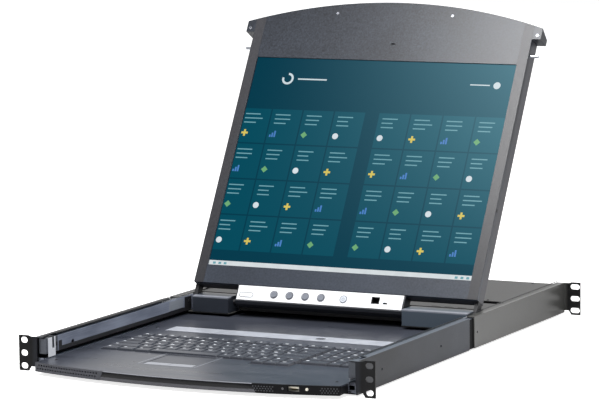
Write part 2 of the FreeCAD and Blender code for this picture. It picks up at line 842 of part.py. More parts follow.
def make_slides():
    low = slide_members("keyboard", mm.keyboard_slide_low, mm.keyboard_slide_high, mm.keyboard_slide_front,
                        mm.keyboard_slide_front)
    high = slide_members("display", mm.display_slide_low, mm.display_slide_high, mm.display_slide_front,
                         mm.rest_back)
    sub_part(group("outer_slide_set", *low["outer"], *high["outer"]), "outer_slides")
    sub_part(group("keyboard_middle_pair", *low["middle"]), "keyboard_middle_slides")
    sub_part(group("display_middle_pair", *high["middle"]), "display_middle_slides")
    sub_part(group("keyboard_inner_pair", *low["inner"]), "keyboard_inner_slides")
    drilled = []
    for (word, side), item in zip(SIDES.items(), high["inner"]):
        span = ordered(side, module_face - 1, module_face + mm.slide_sheet + 1)
        drill = rod(f"display_inner_drill_{word}", "X", (mm.front_hole_at, mm.slide_hole_high), mm.slide_hole, span)
        drilled.append(cut(f"display_inner_{word}_drilled", item, drill))
    sub_part(group("display_inner_pair", *drilled), "display_inner_slides")


make_slides()

# Keyboard drawer: a steel tray, a moulded deck and a bowed front in three pieces.
drawer_half = module_face + mm.front_overhang
drawer_radius = (drawer_half * drawer_half + mm.drawer_rise * mm.drawer_rise) / (mm.drawer_rise * 2)
drawer_centre = drawer_radius - mm.drawer_reach
tray_floor = mm.tray_low + mm.tray_sheet
deck_low = mm.deck_top - mm.deck_thick
port_middle = mm.usb_low + mm.usb_tall / 2


def bow(name, inset, low, high):
    """The big round that gives the drawer's front its bow, set back by an inset."""
    return rod(name, "Z", (0, drawer_centre), drawer_radius - inset, (low, high))


def make_tray():
    tray = body("tray_sheet")
    wall = module_face - mm.tray_sheet
    points = [(-module_face, mm.tray_low), (module_face, mm.tray_low), (module_face, deck_low),
              (wall, deck_low), (wall, tray_floor), (-wall, tray_floor), (-wall, deck_low),
              (-module_face, deck_low)]
    extrude(tray, "XZ", (-mm.drawer_reach, mm.drawer_back), points)
    back = (mm.drawer_back - mm.tray_sheet, mm.drawer_back)
    extrude(tray, "XZ", back, rectangle((-wall, wall), (tray_floor, deck_low)))
    bowed = overlap("tray_bowed", tray, bow("tray_bow", mm.fascia_thick + mm.seam, mm.tray_low - 1, deck_low + 1))
    return sub_part(bowed, "drawer_tray")


key_bottom = mm.key_high - mm.key_cap
alpha_left = mm.well_left + mm.key_space / 2 + mm.well_gap
alpha_right = alpha_left + mm.key_pitch * 15
number_left = alpha_right + mm.block_gap
number_right = number_left + mm.key_pitch * 4
row_front = mm.well_front + mm.well_gap
function_front = row_front + mm.key_row * 5 + mm.block_gap
well_back = function_front + mm.function_row + mm.well_gap
well_right = number_right + mm.well_gap
arrow_left = alpha_left + mm.key_pitch * 12
arrow_front = row_front - mm.key_row
click_front = mm.pad_front - mm.click_deep - mm.panel_fit * 2
pad_right = mm.pad_left + mm.pad_wide


def make_deck():
    deck = body("deck_moulding")
    span = (deck_low, mm.deck_top)
    extrude(deck, "XY", span, rectangle((-module_face, module_face), (-mm.drawer_reach, mm.drawer_back)))
    well = [(mm.well_left, mm.well_front), (arrow_left - mm.well_gap, mm.well_front),
            (arrow_left - mm.well_gap, arrow_front - mm.well_gap),
            (alpha_right + mm.well_gap, arrow_front - mm.well_gap), (alpha_right + mm.well_gap, mm.well_front),
            (well_right, mm.well_front), (well_right, well_back), (mm.well_left, well_back)]
    gap = mm.panel_fit
    pad = rectangle((mm.pad_left - gap, pad_right + gap), (click_front - gap, mm.pad_front + mm.pad_deep + gap))
    extrude(deck, "XY", span, well, pad, remove=True)
    bowed = overlap("deck_bowed", deck, bow("deck_bow", mm.fascia_thick + mm.seam, deck_low - 1, mm.deck_top + 1))
    return sub_part(bowed, "drawer_deck")


def fascia_blank(name, points):
    """What a piece of the drawer's front is cut from, as deep as the bow."""
    blank = body(f"{name}_blank")
    extrude(blank, "XZ", (-mm.drawer_reach - 1, mm.ear_plate), points)
    return blank


def fascia(name, blank, thickness):
    """A strip of the drawer's front bent to its bow."""
    low = mm.tray_low - 1
    ring = cut(f"{name}_ring", bow(f"{name}_outer_bow", 0, low, mm.deck_top + 1),
               bow(f"{name}_inner_bow", thickness, low - 1, mm.deck_top + 2))
    return overlap(f"{name}_bowed", blank, ring)


PERFORATIONS = 23


def make_front():
    low = mm.tray_low
    high = mm.deck_top
    half = drawer_half
    slant = mm.bar_slant
    blank = fascia_blank("left_grille", [(-half, low), (mm.bar_left - slant, low), (mm.bar_left, high),
                                         (-half, high)])
    first = -half + mm.perforation_margin
    pitch = (mm.bar_left - slant - mm.perforation_margin - first) / PERFORATIONS
    for line in (0, 1):
        x = first + pitch * line / 2
        z = low + pitch * (line * 2 + 1.5) / 2
        opening = rectangle((x, x + mm.perforation), (z, z + mm.perforation))
        start = extrude(blank, "XZ", (-mm.drawer_reach - 1, mm.ear_plate), opening, remove=True)
        repeat(blank, start, "X", PERFORATIONS, pitch)
    sub_part(fascia("left_grille", blank, mm.fascia_thick), "left_grille")

    blank = fascia_blank("front_bar_skin", [(mm.bar_left - slant, low), (mm.bar_right + slant, low),
                                            (mm.bar_right, high), (mm.bar_left, high)])
    skin = fascia("front_bar_skin", blank, mm.fascia_thick)
    blank = fascia_blank("front_bar_core", rectangle((mm.bar_left, mm.bar_right), (tray_floor, deck_low)))
    core = fascia("front_bar_core", blank, mm.bar_thick)
    sub_part(joined("front_bar_built", skin, core), "front_bar")

    blank = fascia_blank("port_bezel", [(mm.bar_right + slant, low), (half, low), (half, high),
                                        (mm.bar_right, high)])
    right = fascia("port_bezel", blank, mm.fascia_thick)
    depth = (-mm.drawer_reach - 1, mm.ear_plate)
    tools = [block("usb_way", (mm.usb_at - mm.usb_wide / 2, mm.usb_at + mm.usb_wide / 2), depth,
                   (mm.usb_low, mm.usb_low + mm.usb_tall)),
             rod("light_way", "Y", (mm.light_at, port_middle), mm.light_radius + mm.seam, depth),
             rod("reset_way", "Y", (mm.reset_at, port_middle), mm.reset_radius + mm.button_play, depth)]
    sub_part(cut("port_bezel_open", right, *tools), "port_bezel")


make_tray()
make_deck()
make_front()


# Keys: tapered caps on square stems that run through the plate under them.
def key_blank(x, y, wide, deep):
    """One cap, narrower at its top, with its stem; sizes are read from the sheet."""
    space = mm.key_space.number / 2
    taper = mm.key_taper.number
    low = key_bottom.number
    left, right = x + space, x + wide - space
    front, back = y + space, y + deep - space
    cap = Part.makeWedge(left, low, -back, -back + taper, left + taper,
                         right, mm.key_high.number, -front, -front - taper, right - taper)
    cap.rotate(Vector(), Vector(1, 0, 0), 90)
    side = mm.stem_side.number
    foot = mm.plate_high.number - mm.plate_thick.number - mm.stem_play.number
    corner = Vector((left + right - side) / 2, (front + back - side) / 2, foot)
    return cap.fuse(Part.makeBox(side, side, low - foot, corner))


def key_line(widths, left, front, deep=None):
    """Where the keys of one line lie, from their widths in key pitches; a negative width is a space."""
    pitch = mm.key_pitch.number
    spots = []
    x = left.number
    for width in widths:
        if width > 0:
            spots.append((x, front.number, width * pitch, (deep or mm.key_row).number))
        x += abs(width) * pitch
    return spots


def row_y(line):
    return row_front + mm.key_row * line


KEY_GROUPS = {
    "function_keys": key_line([1] * 15, alpha_left, function_front, mm.function_row)
    + key_line([1] * 4, number_left, function_front, mm.function_row),
    "number_keys": key_line([1] * 13 + [2], alpha_left, row_y(4)),
    "letter_keys": key_line([1.5] + [1] * 12 + [1.5], alpha_left, row_y(3))
    + key_line([1.75] + [1] * 11 + [2.25], alpha_left, row_y(2))
    + key_line([2.25] + [1] * 10 + [2.75], alpha_left, row_y(1)),
    "bottom_keys": key_line([1.25] * 3 + [5.25] + [1] * 6, alpha_left, row_y(0))
    + key_line([1] * 3, arrow_left, arrow_front),
    "number_pad_keys": key_line([1] * 4, number_left, row_y(4))
    + key_line([1] * 3, number_left, row_y(3)) + key_line([1] * 3, number_left, row_y(2))
    + key_line([1] * 3, number_left, row_y(1)) + key_line([2, 1], number_left, row_y(0))
    + key_line([-3, 1], number_left, row_y(2), mm.key_row * 2)
    + key_line([-3, 1], number_left, row_y(0), mm.key_row * 2),
}


def make_keys():
    holes = []
    side = mm.stem_side.number + mm.stem_play.number * 2
    for name, spots in KEY_GROUPS.items():
        item = doc.addObject("Part::Feature", name)
        item.Shape = Part.makeCompound([key_blank(*spot) for spot in spots])
        sub_part(item, name)
        for x, y, wide, deep in spots:
            corner = Vector(x + (wide - side) / 2, y + (deep - side) / 2, tray_floor.number)
            holes.append(Part.makeBox(side, side, mm.plate_high.number, corner))
    ways = doc.addObject("Part::Feature", "stem_ways")
    ways.Shape = Part.makeCompound(holes)
    low = mm.plate_high - mm.plate_thick
    plate = body("key_plate_sheet")
    outline_points = [(mm.well_left, mm.well_front), (arrow_left, mm.well_front), (arrow_left, arrow_front),
                      (alpha_right, arrow_front), (alpha_right, mm.well_front), (well_right, mm.well_front),
                      (well_right, well_back), (mm.well_left, well_back)]
    extrude(plate, "XY", (low, mm.plate_high), outline_points)
    feet = [rectangle((x, x + 5), (y, y + 5)) for x in (mm.well_left, (mm.well_left + well_right) / 2, well_right - 5)
            for y in (mm.well_front, well_back - 5)]
    extrude(plate, "XY", (tray_floor, low), *feet)
    return sub_part(cut("key_plate_pierced", plate, ways), "key_plate")


def make_touchpad():
    """The sensing plate hangs from the deck by a rim under its opening; two click bars lie in front."""
    gap = mm.panel_fit
    lap = mm.key_cap
    back = mm.pad_front + mm.pad_deep
    rim = block("touchpad_rim", (mm.pad_left - lap, pad_right + lap), (mm.pad_front, back + lap),
                (deck_low - mm.chassis_wall, deck_low))
    plate = block("touchpad_plate", (mm.pad_left, pad_right), (mm.pad_front, back), (deck_low, mm.deck_top - mm.pad_drop))
    sub_part(joined("touchpad_built", rim, plate), "touchpad")
    middle = mm.pad_left + mm.pad_wide / 2
    click_back = mm.pad_front - gap
    for word, x in (("left", (mm.pad_left, middle - gap)), ("right", (middle + gap, pad_right))):
        bar = block(f"click_{word}", x, (click_front, click_back), (deck_low - gap, mm.deck_top - gap))
        sub_part(bar, f"{word}_click_button")


def bow_face(x):
    """How far forward the bowed front stands at one X."""
    return drawer_centre - root(drawer_radius * drawer_radius - x * x)


def make_drawer_trim():
    """The light strip behind the keys, its window, the port light and the deck's screws."""
    top = mm.deck_top
    proud = top + mm.strip_thick
    strip = block("strip_plate", (mm.strip_left, mm.strip_right), (mm.strip_front, mm.strip_back), (top, proud))
    middle = (mm.strip_front + mm.strip_back) / 2
    window = rod("strip_window", "Z", (mm.window_at, middle), mm.window_radius, (top, proud + mm.panel_fit))
    hole = rod("strip_hole", "Z", (mm.window_at, middle), mm.window_radius + mm.seam, (top - 1, proud + 1))
    sub_part(cut("strip_pierced", strip, hole), "indicator_strip")
    face = bow_face(mm.light_at)
    span = (face - mm.panel_fit, face + mm.fascia_thick * 2)
    lens = rod("port_lens", "Y", (mm.light_at, port_middle), mm.light_radius, span)
    sub_part(group("drawer_lens_set", window, lens), "drawer_lenses")
    heads = []
    for y in (mm.deck_screw_front, middle, mm.deck_screw_back):
        for side in SIDES.values():
            x = (module_face - mm.deck_screw_inset) * side
            heads.append(prism(f"deck_screw_{len(heads)}", "Z", (x, y), mm.screw_radius, (top, proud)))
    return sub_part(group("deck_screw_set", *heads), "deck_screws")


def make_usb_port():
    """The front socket: a folded shell round a tongue, on the little board that feeds it."""
    x = mm.usb_at
    half = mm.usb_wide / 2
    front = bow_face(x + half) + mm.screw_head
    back = front + mm.usb_deep
    low = mm.usb_low
    high = low + mm.usb_tall
    wall = mm.shell_wall
    shell = block("usb_shell", (x - half, x + half), (front, back), (low, high))
    mouth = block("usb_mouth", (x - half + wall, x + half - wall), (front - 1, back - 2), (low + wall, high - wall))
    tongue = block("usb_tongue", (x - half + 1.2, x + half - 1.2), (front + 1, back - 1), (high - 2.6, high - 1))
    board_low = low - mm.board_thick
    right = mm.reset_at + 12
    inside = bow_face(right) + mm.fascia_thick + mm.panel_fit
    board = block("port_board", (mm.light_at - 8, right), (inside, back + 12), (board_low, low))
    feet = [block(f"port_foot_{index}", (left, left + 5), (back + 5, back + 10), (tray_floor, board_low))
            for index, left in enumerate((mm.light_at - 6, mm.reset_at + 5))]
    return sub_part(joined("usb_built", cut("usb_open", shell, mouth), tongue, board, *feet), "usb_port")


def make_reset_button():
    face = bow_face(mm.reset_at)
    span = (face - mm.reset_travel, face + 8)
    return sub_part(rod("reset_plunger", "Y", (mm.reset_at, port_middle), mm.reset_radius, span), "reset_button")


make_keys()
make_touchpad()
make_drawer_trim()
make_usb_port()
make_reset_button()

# Display carriage: a bent base between the inner slides, with the hinge barrels, their covers and pin rests.
base_top = mm.base_low + mm.base_sheet
chin_slot = (mm.left_cover_inner + mm.chin_gap, mm.right_cover_inner - mm.chin_gap / 2)
hinge_cover_front = mm.hinge_y - mm.cover_ahead
hinge_cover_back = mm.hinge_y + mm.cover_behind
base_front = hinge_cover_front + mm.base_setback
beam_front = hinge_cover_back + mm.beam_gap
lid_half = module_face - mm.lid_side_gap
arm_outer = lid_half - mm.arm_inset
cover_outer = arm_outer - mm.arm_thick - mm.cover_side_gap
cover_spans = {"left": (-cover_outer, mm.left_cover_inner), "right": (mm.right_cover_inner, cover_outer)}


COVER_SLOTS = 3


def make_carriage():
    base = body("carriage_base_sheet")
    plate = [(-module_face, base_front), (chin_slot[0], base_front), (chin_slot[0], beam_front),
             (chin_slot[1], beam_front), (chin_slot[1], base_front), (module_face, base_front),
             (module_face, mm.drawer_back), (-module_face, mm.drawer_back)]
    extrude(base, "XY", (mm.base_low, base_top), plate)
    under = mm.carriage_top - mm.carriage_sheet
    beam = (beam_front, mm.drawer_back)
    inner = module_face - mm.carriage_sheet
    walls = [rectangle((-module_face, -inner), (base_top, under)), rectangle((inner, module_face), (base_top, under))]
    extrude(base, "XZ", beam, *walls)
    across = rectangle((-inner, inner), (base_top, under))
    extrude(base, "XZ", (mm.drawer_back - mm.carriage_sheet, mm.drawer_back), across)
    extrude(base, "XZ", (beam_front, beam_front + mm.carriage_sheet), across)
    sub_part(base, "carriage_base")
    lid = body("carriage_cover_sheet")
    extrude(lid, "XY", (under, mm.carriage_top), rectangle((-module_face, module_face), beam))
    x = mm.cover_slot_at
    y = beam_front + mm.cover_slot_back
    opening = rectangle((x, x + mm.cover_slot_long), (y, y + mm.cover_slot_wide))
    first = extrude(lid, "XY", (under, mm.carriage_top), opening, remove=True)
    repeat(lid, first, "X", COVER_SLOTS, mm.cover_slot_pitch)
    return sub_part(lid, "carriage_cover")


def make_hinges():
    """A barrel on a foot at each side takes the lid's shaft; a moulded cover hides it."""
    axis = (mm.hinge_y, mm.hinge_z)
    wall = mm.hinge_cover_wall
    barrels = []
    covers = []
    for word, (low, high) in cover_spans.items():
        span = (low + mm.barrel_end, high - mm.barrel_end)
        foot = block(f"barrel_foot_{word}", span, (mm.hinge_y - mm.barrel_radius, mm.hinge_y + mm.barrel_radius),
                     (base_top, mm.hinge_z))
        barrel = joined(f"barrel_blank_{word}", foot, rod(f"barrel_tube_{word}", "X", axis, mm.barrel_radius, span))
        bore = rod(f"barrel_bore_{word}", "X", axis, mm.shaft_radius + mm.shaft_play, (low - 1, high + 1))
        barrels.append(cut(f"barrel_{word}", barrel, bore))
        shell = block(f"hinge_shell_{word}", (low, high), (hinge_cover_front, hinge_cover_back),
                      (base_top, mm.hinge_cover_high))
        hollow = block(f"hinge_hollow_{word}", (low + wall, high - wall),
                       (hinge_cover_front + wall, hinge_cover_back - wall),
                       (base_top - 1, mm.hinge_cover_high - wall))
        way = rod(f"hinge_way_{word}", "X", axis, mm.shaft_radius + mm.button_play, (low - 1, high + 1))
        covers.append(cut(f"hinge_cover_{word}", shell, hollow, way))
    sub_part(group("hinge_barrel_pair", *barrels), "hinge_barrels")
    sub_part(group("hinge_cover_pair", *covers), "hinge_covers")


def make_pin_rests():
    """Moulded blocks at the front of the display slides; the shut lid's pins drop into their notches."""
    rests = []
    level = mm.hinge_z - mm.lid_face + mm.pin_depth
    at = mm.hinge_y - mm.pin_line
    room = mm.pin_radius + mm.pin_play
    for word, side in SIDES.items():
        width = ordered(side, module_face, chassis_inner - mm.pin_play)
        rest = block(f"pin_rest_{word}", width, (mm.rest_front, mm.rest_back),
                     (mm.display_slide_low, mm.display_slide_high))
        notch = block(f"pin_notch_{word}", ordered(side, module_face - 1, chassis_inner),
                      (at - room, at + room), (level - room, mm.display_slide_high + 1))
        rests.append(cut(f"pin_rest_{word}_notched", rest, notch))
    return sub_part(group("pin_rest_pair", *rests), "pin_rests")


make_carriage()
make_hinges()
make_pin_rests()

# Lid, about its hinge axis: X across, Y through its thickness with the screen at the front, Z up its face.
face = -mm.lid_face
split = face + mm.lid_split
lid_back = face + mm.lid_thick
whole_lid = (-lid_half, lid_half)
lid_height = (mm.lid_foot, mm.lid_shoulder)
pin_y = face + mm.pin_depth
plate_back = face + mm.plate_face
view_half = lid_half - mm.border_side
view = ((-view_half, view_half), (mm.lid_foot + mm.border_foot, mm.lid_shoulder - mm.border_top))
BUTTONS = 4


def inset(span, amount):
    return (span[0] + amount, span[1] - amount)


def make_bezel():
    bezel = body("bezel_moulding")
    outer = rectangle(whole_lid, lid_height)
    latch_high = mm.lid_shoulder - mm.latch_drop
    latch = rectangle((mm.latch_at, mm.latch_at + mm.latch_wide), (latch_high - mm.latch_tall, latch_high))
    extrude(bezel, "XZ", (face, face + mm.bezel_sheet), outer, rectangle(*view), latch)
    inner = rectangle(inset(whole_lid, mm.lid_wall), inset(lid_height, mm.lid_wall))
    extrude(bezel, "XZ", (face + mm.bezel_sheet, split), outer, inner)
    return sub_part(bezel, "lid_bezel", lid=True)


def make_lid_back():
    shell = body("lid_back_pressing")
    outer = rectangle(whole_lid, lid_height)
    inner = rectangle(inset(whole_lid, mm.lid_wall), inset(lid_height, mm.lid_wall))
    extrude(shell, "XZ", (split, lid_back - mm.lid_wall), outer, inner)
    extrude(shell, "XZ", (lid_back - mm.lid_wall, lid_back), outer)
    top = mm.lid_shoulder - mm.vent_tall * 2
    vent = rectangle((-mm.vent_pitch * 5 - mm.vent_wide / 2, -mm.vent_pitch * 5 + mm.vent_wide / 2),
                     (top, top + mm.vent_tall))
    first = extrude(shell, "XZ", (lid_back - mm.lid_wall, lid_back), vent, remove=True)
    repeat(shell, first, "X", 11, mm.vent_pitch)
    drill = rod("pin_drill", "X", (pin_y, mm.pin_line), mm.pin_radius + mm.seam, (-lid_half - 1, lid_half + 1))
    return sub_part(cut("lid_back_drilled", shell, drill), "lid_back", lid=True)


def make_screen():
    """The liquid crystal module behind the bezel, its front glass and the board on its back."""
    behind = face + mm.bezel_sheet
    glass_back = behind + mm.glass_thick
    glass = block("glass_sheet", inset(view[0], -mm.glass_lap), (behind, glass_back), inset(view[1], -mm.glass_lap))
    sub_part(glass, "screen_glass", lid=True)
    module_back = glass_back + mm.module_thick
    module = block("module_case", inset(view[0], -mm.module_lap), (glass_back, module_back),
                   inset(view[1], -mm.module_lap))
    sub_part(module, "screen_module", lid=True)
    board_y = (module_back + mm.display_board_gap, module_back + mm.display_board_gap + mm.board_thick)
    half = mm.display_board_wide / 2
    low = view[1][0] + mm.display_board_up
    high = low + mm.display_board_tall
    board = block("display_board_plate", (-half, half), board_y, (low, high))
    inset_by = mm.standoff_inset
    posts = [prism(f"display_post_{index}", "Y", place, mm.standoff_radius, (module_back, board_y[0]), sides=6)
             for index, place in enumerate(((-half + inset_by, low + inset_by), (half - inset_by, low + inset_by),
                                            (-half + inset_by, high - inset_by), (half - inset_by, high - inset_by)))]
    sub_part(joined("display_board_built", board, *posts), "display_board", lid=True)


handle_half = lid_half + mm.handle_overhang
pin_reach = chassis_inner - mm.pin_end_gap


def make_handle():
    """The bowed handle across the top, whose edge falls away towards the back."""
    corner = mm.lid_shoulder + mm.handle_tab
    radius = (handle_half * handle_half + mm.handle_rise * mm.handle_rise) / (mm.handle_rise * 2)
    centre = corner + mm.handle_rise - radius
    blank = block("handle_blank", (-handle_half, handle_half), (face, lid_back),
                  (mm.lid_shoulder, corner + mm.handle_rise + 1))
    cone = doc.addObject("Part::Cone", "handle_cone")
    cone.Placement.Rotation = Rotation(Vector(1, 0, 0), -90)
    bind(cone, Radius1=radius, Radius2=radius - mm.handle_slope, Height=mm.lid_thick)
    bind(cone, Placement_Base_y=face, Placement_Base_z=centre)
    sub_part(overlap("handle_bowed", blank, cone), "lid_handle", lid=True)
    heads = []
    high = corner + mm.handle_rise - mm.handle_screw_drop
    outer = handle_half - mm.handle_screw_inset
    low = mm.lid_shoulder + mm.handle_screw_inset
    for x, z in ((-mm.handle_screw_at, high), (mm.handle_screw_at, high), (-outer, low), (outer, low)):
        heads.append(prism(f"lid_screw_{len(heads)}", "Y", (x, z), mm.screw_radius, (face - mm.screw_head, face)))
    sub_part(group("lid_screw_set", *heads), "lid_screws", lid=True)


def make_arms():
    """Outer hinge arms, one at each lower corner, each with the shaft that turns in its barrel."""
    ends = {"left": mm.chin_left + mm.shaft_seat, "right": mm.chin_right - mm.shaft_seat}
    arms = []
    for word, side in SIDES.items():
        width = ordered(side, arm_outer - mm.arm_thick, arm_outer)
        eye = rod(f"arm_eye_{word}", "X", (0, 0), mm.arm_radius, width)
        stalk = block(f"arm_stalk_{word}", width, (-mm.arm_radius, mm.arm_radius), (0, mm.lid_foot))
        span = (arm_outer * side, ends[word]) if side < 0 else (ends[word], arm_outer)
        shaft = rod(f"hinge_shaft_{word}", "X", (0, 0), mm.shaft_radius, span)
        arms.append(joined(f"arm_{word}", eye, stalk, shaft))
    return sub_part(group("arm_pair", *arms), "hinge_arms", lid=True)


def button_x(index):
    return mm.button_first + mm.button_pitch * index


def socket_box(name, grow=0):
    """The outer box of the square socket in the control panel."""
    half = mm.jack_wide / 2 + grow
    tall = mm.jack_tall / 2 + grow
    return block(name, (mm.jack_at - half, mm.jack_at + half), (face - grow, face + mm.jack_deep),
                 (mm.jack_line - tall, mm.jack_line + tall))


def switch_way(name, depth):
    """The slot that the small slide switch runs in."""
    half = mm.switch_wide / 2 + mm.switch_travel + mm.button_play
    tall = mm.switch_tall / 2 + mm.button_play
    return block(name, (mm.switch_at - half, mm.switch_at + half), (face - 1, depth),
                 (mm.switch_line - tall, mm.switch_line + tall))


def button_places():
    return [button_x(index) for index in range(BUTTONS)] + [mm.power_at]


def button_ways():
    """The round ways in the panel that the four menu buttons and the power button travel in."""
    radius = mm.button_radius + mm.button_play
    return [rod(f"plate_way_{index}", "Y", (x, mm.button_line), radius, (face - 1, plate_back + 1))
            for index, x in enumerate(button_places())]


def button_wells(depth):
    """The square wells in the housing behind those ways."""
    half = mm.button_radius + mm.button_play
    return [block(f"button_well_{index}", (x - half, x + half), (face - 1, depth),
                  (mm.button_line - half, mm.button_line + half))
            for index, x in enumerate(button_places())]


def make_chin():
    """The control housing below the screen: it turns with the lid between the two hinge covers."""
    chin = body("chin_moulding")
    foot = -mm.chin_foot
    corner = mm.chin_chamfer
    step = -mm.plate_foot
    back = mm.chin_back
    points = [(plate_back, mm.lid_foot), (plate_back, step), (face, step), (face, foot + corner),
              (face + corner, foot), (back - corner, foot), (back, foot + corner), (back, mm.lid_foot)]
    extrude(chin, "YZ", (mm.chin_left, mm.chin_right), points)
    ends = (mm.chin_left - 1, mm.chin_left + mm.shaft_seat), (mm.chin_right - mm.shaft_seat, mm.chin_right + 1)
    bores = [rod(f"chin_bore_{index}", "X", (0, 0), mm.shaft_radius + mm.seam, span)
             for index, span in enumerate(ends)]
    deepest = plate_back + mm.button_body
    tools = bores + button_wells(deepest)
    tools += [socket_box("chin_socket"), switch_way("chin_switch", plate_back + 2)]
    sub_part(cut("chin_open", chin, *tools), "control_housing", lid=True)

    plate = block("plate_sheet", inset((mm.chin_left, mm.chin_right), mm.plate_inset), (face, plate_back),
                  (step, mm.lid_foot - mm.plate_inset / 2))
    plate_tools = button_ways()
    plate_tools += [socket_box("plate_socket"), switch_way("plate_switch", plate_back + 1)]
    sub_part(cut("plate_open", plate, *plate_tools), "control_panel", lid=True)

    mouth = block("socket_mouth", inset((mm.jack_at - mm.jack_wide / 2, mm.jack_at + mm.jack_wide / 2), mm.jack_wall),
                  (face - 1, face + mm.jack_deep - mm.jack_wall),
                  inset((mm.jack_line - mm.jack_tall / 2, mm.jack_line + mm.jack_tall / 2), mm.jack_wall))
    sub_part(cut("socket_open", socket_box("socket_shell"), mouth), "panel_socket", lid=True)


def make_buttons():
    """Menu buttons, the lit power button and the slide switch, each free to travel in its way."""
    inner = plate_back + mm.button_body - mm.button_travel - mm.button_play
    span = (face - mm.button_proud, inner)
    for index in range(BUTTONS):
        name = f"menu_button_{index + 1}"
        sub_part(rod(f"{name}_cap", "Y", (button_x(index), mm.button_line), mm.button_radius, span), name, lid=True)
    power = rod("power_cap", "Y", (mm.power_at, mm.button_line), mm.button_radius, span)
    sub_part(power, "power_button", lid=True)
    half = mm.switch_wide / 2
    tall = mm.switch_tall / 2
    knob = block("switch_knob", (mm.switch_at - half, mm.switch_at + half),
                 (face - mm.button_play, plate_back + 2 - mm.button_play),
                 (mm.switch_line - tall, mm.switch_line + tall))
    sub_part(knob, "mode_switch", lid=True)


def make_pins():
    """Headed pins through the sides of the lid's back, which carry the shut lid on the slides."""
    pins = []
    for word, side in SIDES.items():
        wall = lid_half - mm.lid_wall
        shank = rod(f"pin_shank_{word}", "X", (pin_y, mm.pin_line), mm.pin_radius, ordered(side, wall, pin_reach))
        head = rod(f"pin_head_{word}", "X", (pin_y, mm.pin_line), mm.pin_head, ordered(side, wall - 1.5, wall))
        pins.append(joined(f"pin_{word}", shank, head))
    return sub_part(group("pin_pair", *pins), "rest_pins", lid=True)


make_bezel()
make_lid_back()
make_screen()
make_handle()
make_arms()
make_chin()
make_buttons()
make_pins()


def check_and_write():
    """Stop on any failed feature or unsound piece, then write one file for each piece."""
    doc.recompute()
    for item in doc.Objects:
        if "Invalid" in item.State or "Error" in item.State:
            raise RuntimeError(f"{item.Label} did not recompute: {item.State}")
    os.makedirs("parts", exist_ok=True)
    for item in pieces:
        shape = item.Shape
        if shape.isNull() or not shape.isValid() or not shape.Solids:
            raise RuntimeError(f"{item.Label} has no valid solid")
        shape.exportStep(os.path.join("parts", f"{item.Label}.step"))
        print(f"{item.Label:26s} solids {len(shape.Solids):3d}  faces {len(shape.Faces):4d}  {shape.BoundBox}")


check_and_write()
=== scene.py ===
"""Looks of the rack console drawer: a one-unit keyboard drawer with a flip-up display.

Metres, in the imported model's own frame: X to the right from the front, Y to the rear, Z up.
"""

import json
import math

import bmesh
import bpy
from mathutils import Matrix, Vector
from mathutils.bvhtree import BVHTree


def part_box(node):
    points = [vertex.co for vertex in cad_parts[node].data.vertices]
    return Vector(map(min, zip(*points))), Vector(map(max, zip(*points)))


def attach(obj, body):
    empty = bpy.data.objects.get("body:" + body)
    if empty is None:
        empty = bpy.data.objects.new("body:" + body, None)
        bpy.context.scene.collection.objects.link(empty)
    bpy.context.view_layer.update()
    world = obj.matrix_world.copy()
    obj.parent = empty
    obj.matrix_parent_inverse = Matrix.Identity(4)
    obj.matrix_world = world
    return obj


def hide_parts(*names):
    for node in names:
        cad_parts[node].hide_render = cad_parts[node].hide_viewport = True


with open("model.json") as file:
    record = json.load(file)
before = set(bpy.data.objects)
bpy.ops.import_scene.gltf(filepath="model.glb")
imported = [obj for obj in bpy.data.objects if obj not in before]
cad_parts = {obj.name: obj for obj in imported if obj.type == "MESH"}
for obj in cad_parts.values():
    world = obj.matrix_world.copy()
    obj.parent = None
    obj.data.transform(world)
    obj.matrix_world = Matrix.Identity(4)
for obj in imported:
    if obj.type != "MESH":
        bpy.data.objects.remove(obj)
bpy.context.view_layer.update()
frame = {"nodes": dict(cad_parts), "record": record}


# Housing: the chassis pan, the bulkhead and the front brackets with their ears.
# Folded steel sheet under a fine satin powder coat, dark blue-grey in front of the
# warmer grey rear brackets, which slide along it to suit the rack's depth.
class Wire:
    """An output of a node; sums with it add Math nodes to its tree."""

    def __init__(self, tree, socket):
        self.tree = tree
        self.socket = socket

    def maths(self, operation, first, second=0.0):
        return node(self.tree, "ShaderNodeMath", {"operation": operation}, {0: first, 1: second})

    def __add__(self, other):
        return self.maths("ADD", self, other)

    def __radd__(self, other):
        return self.maths("ADD", other, self)

    def __sub__(self, other):
        return self.maths("SUBTRACT", self, other)

    def __rsub__(self, other):
        return self.maths("SUBTRACT", other, self)

    def __mul__(self, other):
        return self.maths("MULTIPLY", self, other)

    def __rmul__(self, other):
        return self.maths("MULTIPLY", other, self)

    def __abs__(self):
        return self.maths("ABSOLUTE", self)

    def power(self, other):
        return self.maths("POWER", self, other)

    def clip(self):
        return self.maths("MINIMUM", self.maths("MAXIMUM", self, 0.0), 1.0)


def node(tree, kind, settings, inputs, output=0):
    """Adds a node: its settings first, then the values or links of its sockets."""
    item = tree.nodes.new(kind)
    for key, value in settings.items():
        setattr(item, key, value)
    for key, value in inputs.items():
        if isinstance(value, Wire):
            tree.links.new(value.socket, item.inputs[key])
        else:
            item.inputs[key].default_value = value
    return Wire(tree, item.outputs[output])


def tint(red, green, blue):
    """A display colour, 0 to 255, as the linear colour that shaders use."""
    shares = [value / 255 for value in (red, green, blue)]
    return (*[s / 12.92 if s <= 0.04045 else ((s + 0.055) / 1.055) ** 2.4 for s in shares], 1.0)


